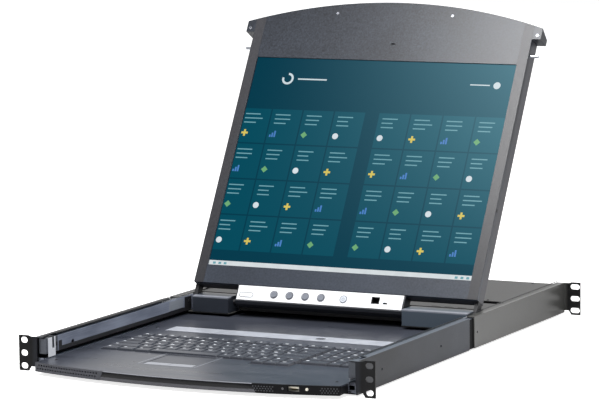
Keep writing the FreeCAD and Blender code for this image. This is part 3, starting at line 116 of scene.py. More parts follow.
class Finish:
    """A material with its shader, read in the piece's own coordinates."""

    def __init__(self, name, roughness, metallic=0.0, coat=0.0, gloss=0.5):
        self.material = bpy.data.materials.new(name)
        self.material.use_nodes = True
        self.tree = self.material.node_tree
        self.shader = self.tree.nodes["Principled BSDF"]
        self.place = self.node("ShaderNodeTexCoord", {}, {}, "Object")
        for socket, value in (("Roughness", roughness), ("Metallic", metallic), ("Coat Weight", coat),
                              ("Specular IOR Level", gloss)):
            self.feed(socket, value)

    def node(self, kind, settings, inputs, output=0):
        return node(self.tree, kind, settings, inputs, output)

    def feed(self, socket, value):
        """Gives the shader a steady value or a varying one."""
        if isinstance(value, Wire):
            self.tree.links.new(value.socket, self.shader.inputs[socket])
        else:
            self.shader.inputs[socket].default_value = value

    def axis(self, letter):
        return self.node("ShaderNodeSeparateXYZ", {}, {0: self.place}, letter)

    def beyond(self, letter, start, slope):
        """0 before a place on an axis and 1 past it, rising by slope to the metre."""
        return ((self.axis(letter) - start) * slope).clip()

    def grain(self, scale, detail=2.0, stretch=(1, 1, 1)):
        """Noise from 0 to 1, so many cells to the metre, longer where stretch is under 1."""
        where = self.node("ShaderNodeMapping", {}, {"Vector": self.place, "Scale": stretch})
        return self.node("ShaderNodeTexNoise", {}, {"Vector": where, "Scale": scale, "Detail": detail})

    def blend(self, factor, first, second):
        """A colour between two others."""
        item = self.tree.nodes.new("ShaderNodeMix")
        item.data_type = "RGBA"
        for place, value in (("Factor_Float", factor), ("A_Color", first), ("B_Color", second)):
            socket = [entry for entry in item.inputs if entry.identifier == place][0]
            if isinstance(value, Wire):
                self.tree.links.new(value.socket, socket)
            else:
                socket.default_value = value
        return Wire(self.tree, [entry for entry in item.outputs if entry.identifier == "Result_Color"][0])

    def shine(self, color):
        """Lets the surface give light of its own."""
        self.feed("Emission Color", color)
        self.feed("Emission Strength", 1.0)

    def raise_by(self, height, depth, strength):
        """Bump, depth metres high where the height is 1."""
        bump = self.node("ShaderNodeBump", {}, {"Height": height, "Distance": depth, "Strength": strength})
        self.feed("Normal", bump)


fold_height, neck_half = 0.0420, 0.2185


def powder_coat(name, low, high, roughness=0.42, painted_ear_shade=None, fold_shade_and_light=None, gloss=0.5, painted_rear_sheen=0.0):
    """Satin powder coat: a faint orange-peel skin over slow shifts of tone, with a painted sheen
    that pales it towards the rear; painted shade darkens the ears, and along the top fold
    painted shade darkens the left side and a painted highlight pales the right."""
    coat = Finish(name, roughness, gloss=gloss)
    cloud = coat.grain(9.0, 3.0)
    skin = coat.grain(900.0, 2.0)
    # Slow clouds of tone, plus a painted sheen that pales the coat towards the rear.
    tone = coat.blend((cloud * 1.6 + coat.axis("Y") * painted_rear_sheen - 0.3).clip(), low, high)
    if painted_ear_shade:
        # Painted shade darkens the left fold's top and a painted highlight pales the right one.
        painted_fold_shade_and_light = coat.blend((coat.axis("X") * 9 + 0.5).clip(), *fold_shade_and_light)
        tone = coat.blend(coat.beyond("Z", fold_height, 3000), tone, painted_fold_shade_and_light)
        # Painted shade darkens the ears beyond the neck.
        tone = coat.blend(((abs(coat.axis("X")) - neck_half) * 250).clip(), tone, painted_ear_shade)
    coat.feed("Base Color", tone)
    coat.feed("Roughness", skin * 0.12 + (roughness - 0.06))
    coat.raise_by(skin, 0.00008, 0.35)
    return coat.material


carried_by = {name: body for body, names in frame["record"]["behaviour"]["bodies"].items() for name in names}
slot_of = {part["node"]: part["material_slot"] for part in frame["record"]["subparts"]}


def stood(name, data):
    """A new object of the scene."""
    item = bpy.data.objects.new(name, data)
    bpy.context.scene.collection.objects.link(item)
    return item


def keep(name, mesh, body, slot, finish, *stands_for):
    """Adds a finished piece, names its body, and hides the nodes it stands for; its slot is not used."""
    piece = stood(name, mesh)
    if finish.name not in mesh.materials:
        mesh.materials.append(finish)
    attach(piece, body)
    if stands_for:
        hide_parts(*stands_for)


def baked(item):
    """An object's shape after its modifiers, as a plain mesh."""
    bpy.context.view_layer.update()
    view = bpy.context.evaluated_depsgraph_get()
    return bpy.data.meshes.new_from_object(item.evaluated_get(view), preserve_all_data_layers=True,
                                           depsgraph=view)


def meshed(shape, name):
    """A plain mesh of a shape, which is freed."""
    mesh = bpy.data.meshes.new(name)
    shape.to_mesh(mesh)
    shape.free()
    return mesh


same_spot = 1e-6


def from_node(name):
    """A node's surface with the triangles of each solid joined at their corners."""
    shape = bmesh.new()
    shape.from_mesh(frame["nodes"][name].data)
    bmesh.ops.remove_doubles(shape, verts=shape.verts, dist=same_spot)
    return shape


def flattened(shape):
    """The shape with each flat area as one face."""
    bmesh.ops.dissolve_limit(shape, angle_limit=math.radians(1.0), verts=shape.verts, edges=shape.edges)
    return shape


least_fold, wide_area = 5e-7, 0.0003


def refilled(mesh):
    """Fills flat areas afresh from their rims where a many-sided face would fold over itself,
    and shades wide faces flat."""
    mesh.calc_loop_triangles()
    folded = {piece.polygon_index for piece in mesh.loop_triangles if piece.area > least_fold
              and piece.normal.dot(mesh.polygons[piece.polygon_index].normal) < 0}
    shape = bmesh.new()
    shape.from_mesh(mesh)
    shape.faces.ensure_lookup_table()
    found = set()
    for start in [shape.faces[index] for index in sorted(folded)]:
        if start in found:
            continue
        area = [start]
        found.add(start)
        normal = start.normal.copy()
        for face in area:
            for edge in face.edges:
                for other in edge.link_faces:
                    if other not in found and other.normal.dot(normal) > 0.9999:
                        found.add(other)
                        area.append(other)
        edges = list(dict.fromkeys(edge for face in area for edge in face.edges))
        rim = [edge for edge in edges if sum(face in area for face in edge.link_faces) == 1]
        inner = [edge for edge in edges if all(face in area for face in edge.link_faces)]
        bmesh.ops.delete(shape, geom=area, context="FACES_ONLY")
        bmesh.ops.delete(shape, geom=inner, context="EDGES")
        patch = bmesh.ops.triangle_fill(shape, use_beauty=True, use_dissolve=False, edges=rim, normal=normal)
        for face in patch["geom"]:
            if isinstance(face, bmesh.types.BMFace):
                face.smooth = False
                if face.normal.dot(normal) < 0:
                    face.normal_flip()
    for face in shape.faces:
        if face.calc_area() > wide_area:
            face.smooth = False
    shape.to_mesh(mesh)
    shape.free()


def softened(shape, name, width, rounds):
    """The shape as a mesh whose sharp edges are rounded and catch the light."""
    mesh = meshed(shape, name)
    mesh.shade_smooth()
    blank = stood(name, mesh)
    edges = blank.modifiers.new("edges", "BEVEL")
    edges.width = width
    edges.segments = rounds
    edges.limit_method = "ANGLE"
    edges.angle_limit = math.radians(35.0)
    edges.miter_outer = "MITER_ARC"
    rounded = baked(blank)
    rounded.set_sharp_from_angle(angle=math.radians(19.0))
    refilled(rounded)
    bpy.data.objects.remove(blank)
    bpy.data.meshes.remove(mesh)
    return rounded


def dress(name, finish, width=0.0004, rounds=2):
    """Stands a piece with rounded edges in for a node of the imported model."""
    mesh = softened(flattened(from_node(name)), f"{name}_skin", width, rounds)
    mesh.materials.clear()
    keep(f"{name}_skin", mesh, carried_by[name], slot_of[name], finish, name)


def give(finish, *names):
    """Puts a finish on nodes whose shape is right as it is."""
    for name in names:
        for place in frame["nodes"][name].material_slots:
            place.material = finish


# Below, the ear colours are painted shade, the left and right fold colours are painted shade and a painted
# highlight, and the housing coat's rise to the rear is a painted sheen.
housing_coat = powder_coat("housing_coat", tint(28, 30, 36), tint(62, 66, 75), painted_ear_shade=tint(11, 11, 13),
                           fold_shade_and_light=(tint(32, 35, 41), tint(92, 97, 105)), gloss=0.22, painted_rear_sheen=2.2)
rear_coat = powder_coat("rear_coat", tint(56, 56, 55), tint(72, 72, 70), 0.3, painted_ear_shade=tint(14, 14, 15),
                        fold_shade_and_light=(tint(50, 50, 49), tint(72, 72, 70)))
pan_coat = powder_coat("pan_coat", tint(16, 16, 18), tint(24, 24, 27), gloss=0.25)
dress("front_brackets", housing_coat, 0.0005)
dress("chassis", powder_coat("chassis_coat", tint(9, 9, 11), tint(15, 15, 17), 0.6, gloss=0.08), 0.0005)
dress("bulkhead", pan_coat, 0.0003)
for name in ("rear_bracket_left", "rear_bracket_right"):
    dress(name, rear_coat, 0.0005)


# Top cover of the switch compartment, and its screws along both edges.
# The cover is a folded sheet in a slightly paler coat; the screws are blackened
# pan heads with a six-sided recess, driven from above.
def open_tree(name, **kinds):
    """A Geometry Nodes tree with its named inputs, and a wire from each."""
    tree = bpy.data.node_groups.new(name, "GeometryNodeTree")
    for label, kind in {"Places": "Geometry", **kinds, "Finish": "Material"}.items():
        tree.interface.new_socket(label, in_out="INPUT", socket_type=f"NodeSocket{kind}")
    tree.interface.new_socket("Pieces", in_out="OUTPUT", socket_type="NodeSocketGeometry")
    source = tree.nodes.new("NodeGroupInput")
    return tree, {socket.name: Wire(tree, socket) for socket in source.outputs if socket.name}


def close_tree(tree, given, shape, **placing):
    """Ends a tree with the shape on every point, in its finish."""
    placed = node(tree, "GeometryNodeInstanceOnPoints", {},
                  {"Points": given["Places"], "Instance": shape, **placing})
    solid = node(tree, "GeometryNodeRealizeInstances", {}, {0: placed})
    coated = node(tree, "GeometryNodeSetMaterial", {}, {"Geometry": solid, "Material": given["Finish"]})
    tree.links.new(coated.socket, tree.nodes.new("NodeGroupOutput").inputs[0])
    return tree


def head_tree():
    """Screw heads with a six-sided recess, one on every point."""
    tree, given = open_tree("screw_heads", Radius="Float", Height="Float", Recess="Float", Tilt="Rotation")
    radius, height = given["Radius"], given["Height"]
    crown = node(tree, "GeometryNodeMeshCone", {},
                 {"Vertices": 20, "Radius Top": radius * 0.8, "Radius Bottom": radius, "Depth": height})
    key = node(tree, "GeometryNodeMeshCylinder", {},
               {"Vertices": 6, "Radius": given["Recess"], "Depth": height})
    top = node(tree, "ShaderNodeCombineXYZ", {}, {"Z": height})
    lifted = node(tree, "GeometryNodeTransform", {}, {"Geometry": key, "Translation": top})
    head = node(tree, "GeometryNodeMeshBoolean", {"operation": "DIFFERENCE"},
                {"Mesh 1": crown, "Mesh 2": lifted})
    return close_tree(tree, given, head, Rotation=given["Tilt"])


def grown(name, points, tree, values, body, slot, finish, *stands_for):
    """Keeps a plain mesh of what a tree puts on a set of points."""
    seeds = bpy.data.meshes.new(name)
    seeds.from_pydata(points, [], [])
    holder = stood(name, seeds)
    grower = holder.modifiers.new("tree", "NODES")
    grower.node_group = tree
    values = {**values, "Finish": finish}
    for item in tree.interface.items_tree:
        if item.in_out == "INPUT" and item.name in values:
            grower[item.identifier] = values[item.name]
    holder.update_tag()
    mesh = baked(holder)
    holder.modifiers.remove(grower)
    bpy.data.objects.remove(holder)
    keep(name, mesh, body, slot, finish, *stands_for)


def island_boxes(name):
    """The lowest and highest corners of each separate solid of a node."""
    shape = from_node(name)
    waiting = set(shape.verts)
    boxes = []
    while waiting:
        reached = [waiting.pop()]
        for vert in reached:
            for edge in vert.link_edges:
                other = edge.other_vert(vert)
                if other in waiting:
                    waiting.remove(other)
                    reached.append(other)
        spots = [vert.co.copy() for vert in reached]
        low = Vector([min(spot[i] for spot in spots) for i in range(3)])
        high = Vector([max(spot[i] for spot in spots) for i in range(3)])
        boxes.append((low, high))
    shape.free()
    return sorted(boxes, key=lambda box: (round(box[0].y, 4), round(box[0].x, 4)))


def screw_heads(name, finish, tilt=0.0):
    """Stands recessed heads in for a node of plain ones, tilted about X with what they hold."""
    lean = Matrix.Rotation(tilt, 3, "X")
    sink = lean @ Vector((0, 0, 0.0009))
    spots = [(low + high) / 2 - sink for low, high in island_boxes(name)]
    grown(f"{name}_heads", spots, screw_tree,
          {"Radius": 0.0024, "Height": 0.0012, "Recess": 0.0013, "Tilt": lean.to_euler()},
          carried_by[name], slot_of[name], finish, name)


def flecked(name, low, high, scale, roughness, metallic=0.0, stretch=(1, 1, 1), **steady):
    """A finish whose colour wanders between two, so many flecks to the metre."""
    skin = Finish(name, roughness, metallic, **steady)
    skin.feed("Base Color", skin.blend(skin.grain(scale, 2.0, stretch), low, high))
    return skin


screw_tree = head_tree()
cover_coat = powder_coat("cover_coat", tint(46, 46, 45), tint(60, 59, 58))
dress("top_cover", cover_coat, 0.0005)
blackened = flecked("blackened_steel", tint(58, 58, 62), tint(96, 96, 102), 700.0, 0.34, 1.0).material
screw_heads("cover_screws", blackened)


# Switch compartment: the board on its standoffs, the power supply's plated case,
# the appliance inlet with its rocker and blades, and the row of computer sockets.
# Thin black strips on the inner part of the brackets' lips are painted shadow, for the gap below them.
laminate = Finish("board_laminate", 0.35)
tracks = (laminate.grain(260.0, 0.0, (1, 6, 1)) * 14.0 - 7.4).clip()
laminate.feed("Base Color", laminate.blend(tracks, tint(14, 82, 52), tint(34, 112, 74)))
give(laminate.material, "main_board", "display_board")

zinc = Finish("plated_case", 0.3, 1.0)
spangle = zinc.grain(140.0, 1.0)
zinc.feed("Base Color", zinc.blend(spangle, tint(168, 170, 172), tint(192, 194, 196)))
zinc.feed("Roughness", spangle * 0.2 + 0.22)
plated = zinc.material
dress("power_supply", plated)


def moulded(name, low, high, roughness=0.5):
    """Moulded plastic with a spark-eroded skin."""
    plastic = Finish(name, roughness)
    skin = plastic.grain(1400.0, 2.0)
    plastic.feed("Base Color", plastic.blend(plastic.grain(24.0, 2.0), low, high))
    plastic.feed("Roughness", skin * 0.14 + (roughness - 0.07))
    plastic.raise_by(skin, 0.00004, 0.4)
    return plastic.material


black_plastic = moulded("black_plastic", tint(20, 20, 23), tint(30, 30, 34))
dress("mains_inlet", black_plastic, 0.0004)
dress("power_rocker", black_plastic, 0.0004)
shell_blue = moulded("socket_shell", tint(34, 44, 80), tint(46, 56, 94), 0.35)
dress("computer_ports", shell_blue, 0.0003)


def slabs(name, boxes, body, slot, finish, rounding=0.0002):
    """Keeps small blocks with rounded edges, given by their lowest and highest corners."""
    shape = bmesh.new()
    for low, high in boxes:
        low, high = Vector(low), Vector(high)
        size = high - low
        grow = Matrix.Translation((low + high) / 2) @ Matrix.Diagonal((*size, 1))
        bmesh.ops.create_cube(shape, size=1.0, matrix=grow)
    keep(name, softened(shape, name, rounding, 2), body, slot, finish)


lip_low, lip_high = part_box("front_brackets")
lip_face = lip_high.z
# Black strips of painted shadow on the inner part of the lips, for the gap between lip and slides.
shadow_strip_inner, shadow_strip_thick, shadow_strip_gap = 0.2058, 0.0003, 0.002
for name, left, right, body in (("lip_edging_left", -0.2112, -shadow_strip_inner, "housing"),
                                ("lip_edging_right", shadow_strip_inner, 0.2082, "housing"),
                                ("rear_edging_left", -0.2080, -shadow_strip_inner, "rear_bracket_left"),
                                ("rear_edging_right", shadow_strip_inner, 0.2080, "rear_bracket_right")):
    start, end = [corner.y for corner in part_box(body)] if body != "housing" else (lip_low.y + 0.004, lip_high.y)
    slabs(name, [((left, start, lip_face), (right, end - shadow_strip_gap, lip_face + shadow_strip_thick))],
          body, "black_plastic", black_plastic)
blade_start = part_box("mains_inlet")[1].y - 0.0165
blade_long, blade_half, blade_rise = 0.012, 0.0011, 0.002
blade_end = blade_start + blade_long
blades = [((x - blade_half, blade_start, z - blade_rise), (x + blade_half, blade_end, z + blade_rise))
          for x, z in ((0.165, 0.0185), (0.179, 0.0185), (0.172, 0.0235))]
slabs("inlet_blades", blades, "housing", "slide_steel", plated)


# Slides: two pairs of three nested members of rolled steel with oil and rolling marks,
# which run on caged balls. The display's inner members carry a black strip of painted shadow
# along their lower edge, for the dark gap beneath them, and a bright plate and a square plug at their ends.
def rolled_steel(name, low, high, roughness, metallic=1.0):
    steel = Finish(name, roughness, metallic)
    rolling = steel.grain(900.0, 2.0, (1, 0.02, 1))
    smear = steel.grain(17.0, 4.0, (1, 0.45, 1.6))
    steel.feed("Base Color", steel.blend((rolling * 0.4 + smear * 1.8 - 0.6).clip(), low, high))
    steel.feed("Roughness", smear * 0.25 + (roughness - 0.12))
    steel.raise_by(rolling, 0.00003, 0.3)
    return steel.material


slide_steel = rolled_steel("rolled_steel", tint(118, 122, 134), tint(158, 164, 178), 0.34)
for name in ("outer_slides", "keyboard_middle_slides", "display_middle_slides", "keyboard_inner_slides"):
    dress(name, slide_steel, 0.00025)
zinced_steel = rolled_steel("zinced_steel", tint(92, 99, 115), tint(176, 184, 204), 0.4, 0.25)
dress("display_inner_slides", zinced_steel, 0.00025)
member_low, member_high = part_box("display_inner_slides")
member_face = 0.2038


def inner_pads(along, up, thick=0.0004):
    """Flat plates on the inner faces of both display members."""
    return [((min(side * member_face, side * (member_face - thick)), along[0], up[0]),
             (max(side * member_face, side * (member_face - thick)), along[1], up[1])) for side in (-1, 1)]


# Black strips of painted shadow along the members' foot, for the dark gap beneath them.
member_shadow_strips = inner_pads((member_low.y + 0.002, 0.0660), (member_low.z, member_low.z + 0.0052))
plugs = inner_pads((-0.2640, -0.2565), (0.0262, 0.0335))
slabs("member_shadow_strips", member_shadow_strips + plugs, "display_carriage", "black_plastic", black_plastic)
pale_steel = rolled_steel("pale_steel", tint(118, 124, 134), tint(170, 176, 186), 0.4, 0.15)
end_plates = inner_pads((0.0180, 0.0550), (member_low.z + 0.0056, member_high.z - 0.0012))
slabs("end_plates", end_plates, "display_carriage", "slide_steel", pale_steel)


def ball_tree():
    """Steel balls, one on every point."""
    tree, given = open_tree("slide_balls", Radius="Float")
    ball = node(tree, "GeometryNodeMeshIcoSphere", {}, {"Radius": given["Radius"], "Subdivisions": 2})
    return close_tree(tree, given, node(tree, "GeometryNodeSetShadeSmooth", {}, {0: ball}))


ball_radius, ball_pitch, ball_gap = 0.0008, 0.0042, 0.00005
ball_rows = [(side * 0.2052, 0.004 + ball_pitch * step, member_high.z + ball_radius + ball_gap)
             for side in (-1, 1) for step in range(20)]
grown("slide_balls", ball_rows, ball_tree(), {"Radius": ball_radius}, "display_middle_slides", "slide_steel",
      plated)


# Keyboard drawer: a folded steel tray with a moulded deck screwed onto it, and a bowed
# front in three moulded pieces: the perforated left one, the smooth two-tone bar with a dark band
# over a grey lip and a painted highlight along its top edge, and the socket piece.
dress("drawer_tray", pan_coat, 0.0003)


def streaked_plastic(name, low, high, roughness):
    """Moulded plastic with faint streaks across it, where the flow met in the mould."""
    plastic = Finish(name, roughness)
    skin = plastic.grain(1300.0, 2.0)
    flow = plastic.grain(26.0, 4.0, (0.35, 1.6, 1))
    plastic.feed("Base Color", plastic.blend((flow * 1.8 - 0.4).clip(), low, high))
    plastic.feed("Roughness", flow * 0.22 + (roughness - 0.1))
    plastic.raise_by(skin, 0.00004, 0.35)
    return plastic.material


deck_plastic = streaked_plastic("deck_plastic", tint(44, 47, 55), tint(64, 67, 77), 0.3)
dress("drawer_deck", deck_plastic, 0.0004)
grille_plastic = moulded("grille_plastic", tint(50, 52, 60), tint(66, 68, 77), 0.4)
dress("left_grille", grille_plastic, 0.0003, 1)
bar_plastic = Finish("bar_plastic", 0.22, gloss=0.3)
band_foot, highlight_foot = 0.0084, 0.0147
bar_flow = bar_plastic.grain(40.0, 3.0, (0.2, 1, 1))
lower_lip = bar_plastic.blend(bar_flow, tint(72, 72, 77), tint(92, 92, 97))
bar_band = bar_plastic.blend(bar_flow, tint(8, 8, 11), tint(15, 15, 19))
# The pale crown along the bar's top edge is a painted highlight.
bar_painted_highlight = bar_plastic.blend(bar_flow, tint(112, 114, 121), tint(134, 136, 143))
past_lip = bar_plastic.beyond("Z", band_foot, 1200)
lower_part = bar_plastic.blend(past_lip, lower_lip, bar_band)
on_painted_highlight = bar_plastic.beyond("Z", highlight_foot, 3000)
bar_plastic.feed("Base Color", bar_plastic.blend(on_painted_highlight, lower_part, bar_painted_highlight))
bar_plastic.feed("Roughness", past_lip * -0.18 + 0.4)
bar_plastic.raise_by(bar_plastic.grain(1300.0), 0.00003, 0.25)
dress("front_bar", bar_plastic.material, 0.0012, 3)
port_plastic = flecked("port_plastic", tint(9, 9, 11), tint(17, 17, 20), 30.0, 0.4, gloss=0.12)
port_plastic.raise_by(port_plastic.grain(1400.0), 0.00004, 0.4)
dress("port_bezel", port_plastic.material, 0.0005)
screw_heads("deck_screws", blackened)
give(deck_plastic, "key_plate")


# Keys: tapered moulded caps with dished tops in five groups, and a pale mark on each.
# The marks are plain dashes, printed near the far left corner of the top.
def dash_tree():
    """Flat dashes, one on every point, each scaled at random between two limits."""
    tree, given = open_tree("key_dashes", Length="Float", Width="Float", Thickness="Float", Least="Vector",
                            Most="Vector", Seed="Int")
    size = node(tree, "ShaderNodeCombineXYZ", {},
                {"X": given["Length"], "Y": given["Width"], "Z": given["Thickness"]})
    dash = node(tree, "GeometryNodeMeshCube", {}, {"Size": size})
    spread = node(tree, "FunctionNodeRandomValue", {"data_type": "FLOAT_VECTOR"},
                  {"Min": given["Least"], "Max": given["Most"], "Seed": given["Seed"]})
    return close_tree(tree, given, dash, Scale=spread)


def dished(shape, top, depth):
    """Sinks the middle of each flat top a little, as a fingertip finds it."""
    tops = [face for face in shape.faces
            if face.normal.z > 0.99 and abs(face.calc_center_median().z - top) < 1e-5]
    bmesh.ops.inset_individual(shape, faces=tops, thickness=0.0022, depth=-depth)


key_plastic = moulded("key_plastic", tint(46, 49, 57), tint(64, 67, 76), 0.4)
key_print = flecked("key_print", tint(206, 210, 216), tint(238, 241, 246), 500.0, 0.5).material
dashes = dash_tree()
dish_depth, print_gap = 0.00035, 0.00005
mark_shape = {"Length": 0.0034, "Width": 0.0032, "Thickness": 0.0001,
              "Least": (0.55, 0.5, 1.0), "Most": (1.4, 1.0, 1.0)}
for seed, name in enumerate(("function_keys", "number_keys", "letter_keys", "bottom_keys", "number_pad_keys")):
    key_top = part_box(name)[1].z
    caps = flattened(from_node(name))
    dished(caps, key_top, dish_depth)
    body, slot = carried_by[name], slot_of[name]
    keep(f"{name}_caps", softened(caps, f"{name}_caps", 0.0006, 3), body, slot, key_plastic, name)
    spots = [Vector((low.x + 0.0048, high.y - 0.0046, key_top - dish_depth + print_gap))
             for low, high in island_boxes(name)]
    grown(f"{name}_marks", spots, dashes, {**mark_shape, "Seed": seed}, body, slot, key_print)


# Touchpad, its click buttons, the light strip and the lenses of the drawer.
# The pad is a satin film on the deck; the buttons and the trim round them are
# metallised plastic, and the strip is a brushed film with an oval window.
pad_film = flecked("pad_film", tint(48, 50, 58), tint(60, 63, 72), 30.0, 0.36)
pad_film.raise_by(pad_film.grain(2200.0), 0.00002, 0.4)
dress("touchpad", pad_film.material, 0.0003)
silvered = flecked("silvered_plastic", tint(142, 145, 154), tint(172, 176, 186), 60.0, 0.3, 0.6,
                   (1, 4, 1)).material
for name in ("left_click_button", "right_click_button"):
    dress(name, silvered, 0.0003)
pad_low, pad_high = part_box("touchpad")
click_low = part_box("left_click_button")[0]
deck_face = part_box("drawer_deck")[1].z
trim_wide, trim_thick = 0.0014, 0.0002
trim_left, trim_right = pad_low.x - trim_wide, pad_high.x + trim_wide
trim_front, trim_back = click_low.y - 2 * trim_wide, pad_high.y + trim_wide
trims = [((trim_left, trim_front), (trim_left + trim_wide, trim_back)),
         ((trim_right - trim_wide, trim_front), (trim_right, trim_back)),
         ((trim_left + trim_wide, trim_front), (trim_right - trim_wide, trim_front + trim_wide)),
         ((trim_left + trim_wide, trim_back - trim_wide), (trim_right - trim_wide, trim_back))]
slabs("pad_trim", [((*low, deck_face), (*high, deck_face + trim_thick)) for low, high in trims],
      "keyboard_drawer", "pad_plastic", silvered, 0.00005)

strip_film = Finish("strip_film", 0.34, 0.3)
brushed = strip_film.grain(500.0, 2.0, (0.03, 1, 1))
mottle = strip_film.grain(60.0, 3.0)
strip_film.feed("Base Color", strip_film.blend((brushed * 0.5 + mottle * 1.2 - 0.4).clip(),
                                               tint(160, 164, 174), tint(204, 208, 217)))
dress("indicator_strip", strip_film.material, 0.0002)
smoked_lens = flecked("smoked_lens", tint(16, 18, 26), tint(30, 32, 44), 200.0, 0.12, coat=1.0).material
give(smoked_lens, "drawer_lenses")
window_low, window_high = [pair for pair in island_boxes("drawer_lenses") if pair[1].z > 0.0158][0]
window_x, window_y = (window_low.x + window_high.x) / 2, (window_low.y + window_high.y) / 2
window_wide, window_deep, window_thick = 0.0066, 0.0052, 0.0002
oval = bmesh.new()
bmesh.ops.create_cone(oval, cap_ends=True, segments=32, radius1=1.0, radius2=0.94, depth=1.0,
                      matrix=Matrix.Translation((window_x, window_y, window_high.z + window_thick / 2)) @
                      Matrix.Diagonal((window_wide, window_deep, window_thick, 1)))
window_film = flecked("window_film", tint(70, 73, 82), tint(92, 95, 104), 90.0, 0.24).material
keep("strip_window", softened(oval, "strip_window", 0.00005, 1), "keyboard_drawer", "strip_film", window_film)


# USB socket, reset button and moulded pores of the drawer's right front piece.
# The socket's shell is plated and its tongue is cream plastic with four brass contacts;
# the pores are short raised dashes in three rows, left out around the openings.
port_steel = flecked("port_steel", tint(168, 166, 158), tint(202, 200, 190), 300.0, 0.35, 0.3).material
dress("usb_port", port_steel, 0.0001, 1)
cream = moulded("tongue_plastic", tint(226, 220, 204), tint(240, 235, 222), 0.4)
tongue_low = Vector((0.1451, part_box("usb_port")[0].y + 0.0006, 0.0112))
tongue_high = Vector((0.1569, tongue_low.y + 0.012, 0.0130))
slabs("usb_tongue", [(tongue_low, tongue_high)], "keyboard_drawer", "port_shell", cream)
contact_pitch, contact_half, contact_lift = 0.0025, 0.0005, 0.0001
contacts = []
for place in (-1.5, -0.5, 0.5, 1.5):
    x = 0.151 + place * contact_pitch
    contacts.append(((x - contact_half, tongue_low.y, tongue_low.z - contact_lift),
                     (x + contact_half, tongue_high.y - 0.003, tongue_low.z + contact_lift)))
brass = flecked("contact_brass", tint(188, 160, 92), tint(206, 182, 118), 400.0, 0.25, 1.0).material
slabs("usb_contacts", contacts, "keyboard_drawer", "socket_metal", brass, 0.00003)
dress("reset_button", cream, 0.0002)
bezel_low, bezel_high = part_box("port_bezel")
bezel_shape = flattened(from_node("port_bezel"))
bezel_skin = BVHTree.FromBMesh(bezel_shape)
bezel_shape.free()
openings = [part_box("usb_port"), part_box("reset_button"), island_boxes("drawer_lenses")[0]]
pore_pitch, pore_size, pore_margin = 0.0034, 0.0017, 0.0030
pores = []
for row, share in enumerate((0.28, 0.5, 0.72)):
    for column in range(round((bezel_high.x - bezel_low.x) / pore_pitch)):
        x = bezel_low.x + (column + 0.5 + row % 2 / 2) * pore_pitch
        z = bezel_low.z + (bezel_high.z - bezel_low.z) * share
        spot, facing = bezel_skin.ray_cast(Vector((x, bezel_low.y - 0.1, z)), Vector((0, 1, 0)))[:2]
        closed = all(not low.x - pore_margin < x < high.x + pore_margin for low, high in openings)
        if spot and facing.y < -0.7 and closed:
            pores.append(spot)
pore_plastic = moulded("pore_plastic", tint(40, 42, 47), tint(62, 64, 70), 0.35)
pore_shape = {"Length": pore_size, "Width": 0.0003, "Thickness": pore_size * 0.8,
              "Least": (1.0, 1.0, 1.0), "Most": (1.0, 1.0, 1.0), "Seed": 0}
grown("port_pores", pores, dashes, pore_shape, "keyboard_drawer", "drawer_plastic", pore_plastic)


# Display carriage: the bent base and its cover in warm grey coat, the hinge barrels
# under moulded covers, the side latches with their studs, and the notched rests whose
# white buffers take the lid's pins.
for name, coat in (("carriage_base", rear_coat), ("carriage_cover", cover_coat)):
    dress(name, coat, 0.0003)
give(blackened, "hinge_barrels")
cover_plastic = Finish("hinge_cover_plastic", 0.3)
cover_flow = cover_plastic.grain(26.0, 4.0, (0.35, 1.6, 1))
# The walls pale from the left cover to the right one: painted light from the right, over flow streaks.
cover_wall_painted_light = cover_plastic.blend((cover_plastic.axis("X") * 9 + cover_flow * 0.4).clip(), tint(46, 50, 58),
                                 tint(70, 80, 91))
# The tops, in front of their rear part, are paler: a painted highlight where light grazes them.
cover_top_highlight = cover_plastic.blend(cover_flow, tint(120, 124, 134), tint(146, 150, 160))
top_highlight_low, top_highlight_rear = 0.0388, 0.0790
on_painted_top_highlight = cover_plastic.beyond("Z", top_highlight_low, 900) * cover_plastic.beyond("Y", top_highlight_rear, -500)
cover_plastic.feed("Base Color", cover_plastic.blend(on_painted_top_highlight, cover_wall_painted_light, cover_top_highlight))
cover_plastic.feed("Roughness", cover_flow * 0.2 + 0.22)
cover_plastic.raise_by(cover_plastic.grain(1300.0), 0.00004, 0.35)
dress("hinge_covers", cover_plastic.material, 0.0024, 3)
latches = inner_pads((0.0600, 0.0780), (member_low.z, member_high.z - 0.0008), 0.0005)
slabs("side_latches", latches, "display_carriage", "black_plastic", black_plastic, 0.0001)
studs = inner_pads((0.0690, 0.0730), (0.0325, 0.0360), 0.0007)
slabs("latch_studs", studs, "display_carriage", "slide_steel", plated, 0.00005)
dress("pin_rests", rolled_steel("rest_steel", tint(64, 68, 76), tint(110, 114, 122), 0.4, 0.4), 0.0004)
nylon = moulded("buffer_nylon", tint(206, 210, 218), tint(228, 231, 237), 0.45)
buffer_thick, buffer_foot = 0.0006, 0.0168
notch_front, notch_back, notch_foot = 0.0136, 0.0190, 0.0264
buffers, catches = [], []
for low, high in island_boxes("pin_rests"):
    inner = (high.x, high.x + buffer_thick) if low.x < 0 else (low.x - buffer_thick, low.x)
    for front, back, top in ((0.0042, notch_front, high.z), (notch_front, notch_back, notch_foot),
                             (notch_back, 0.0215, high.z)):
        buffers.append(((inner[0], low.y + front, buffer_foot), (inner[1], low.y + back, top)))
    catches.append(((inner[0], low.y + 0.0232, low.z + 0.0070), (inner[1], low.y + 0.0262, low.z + 0.0120)))
slabs("rest_buffers", buffers, "display_carriage", "rest_nylon", nylon)
slabs("rest_catches", catches, "display_carriage", "rest_nylon", black_plastic)


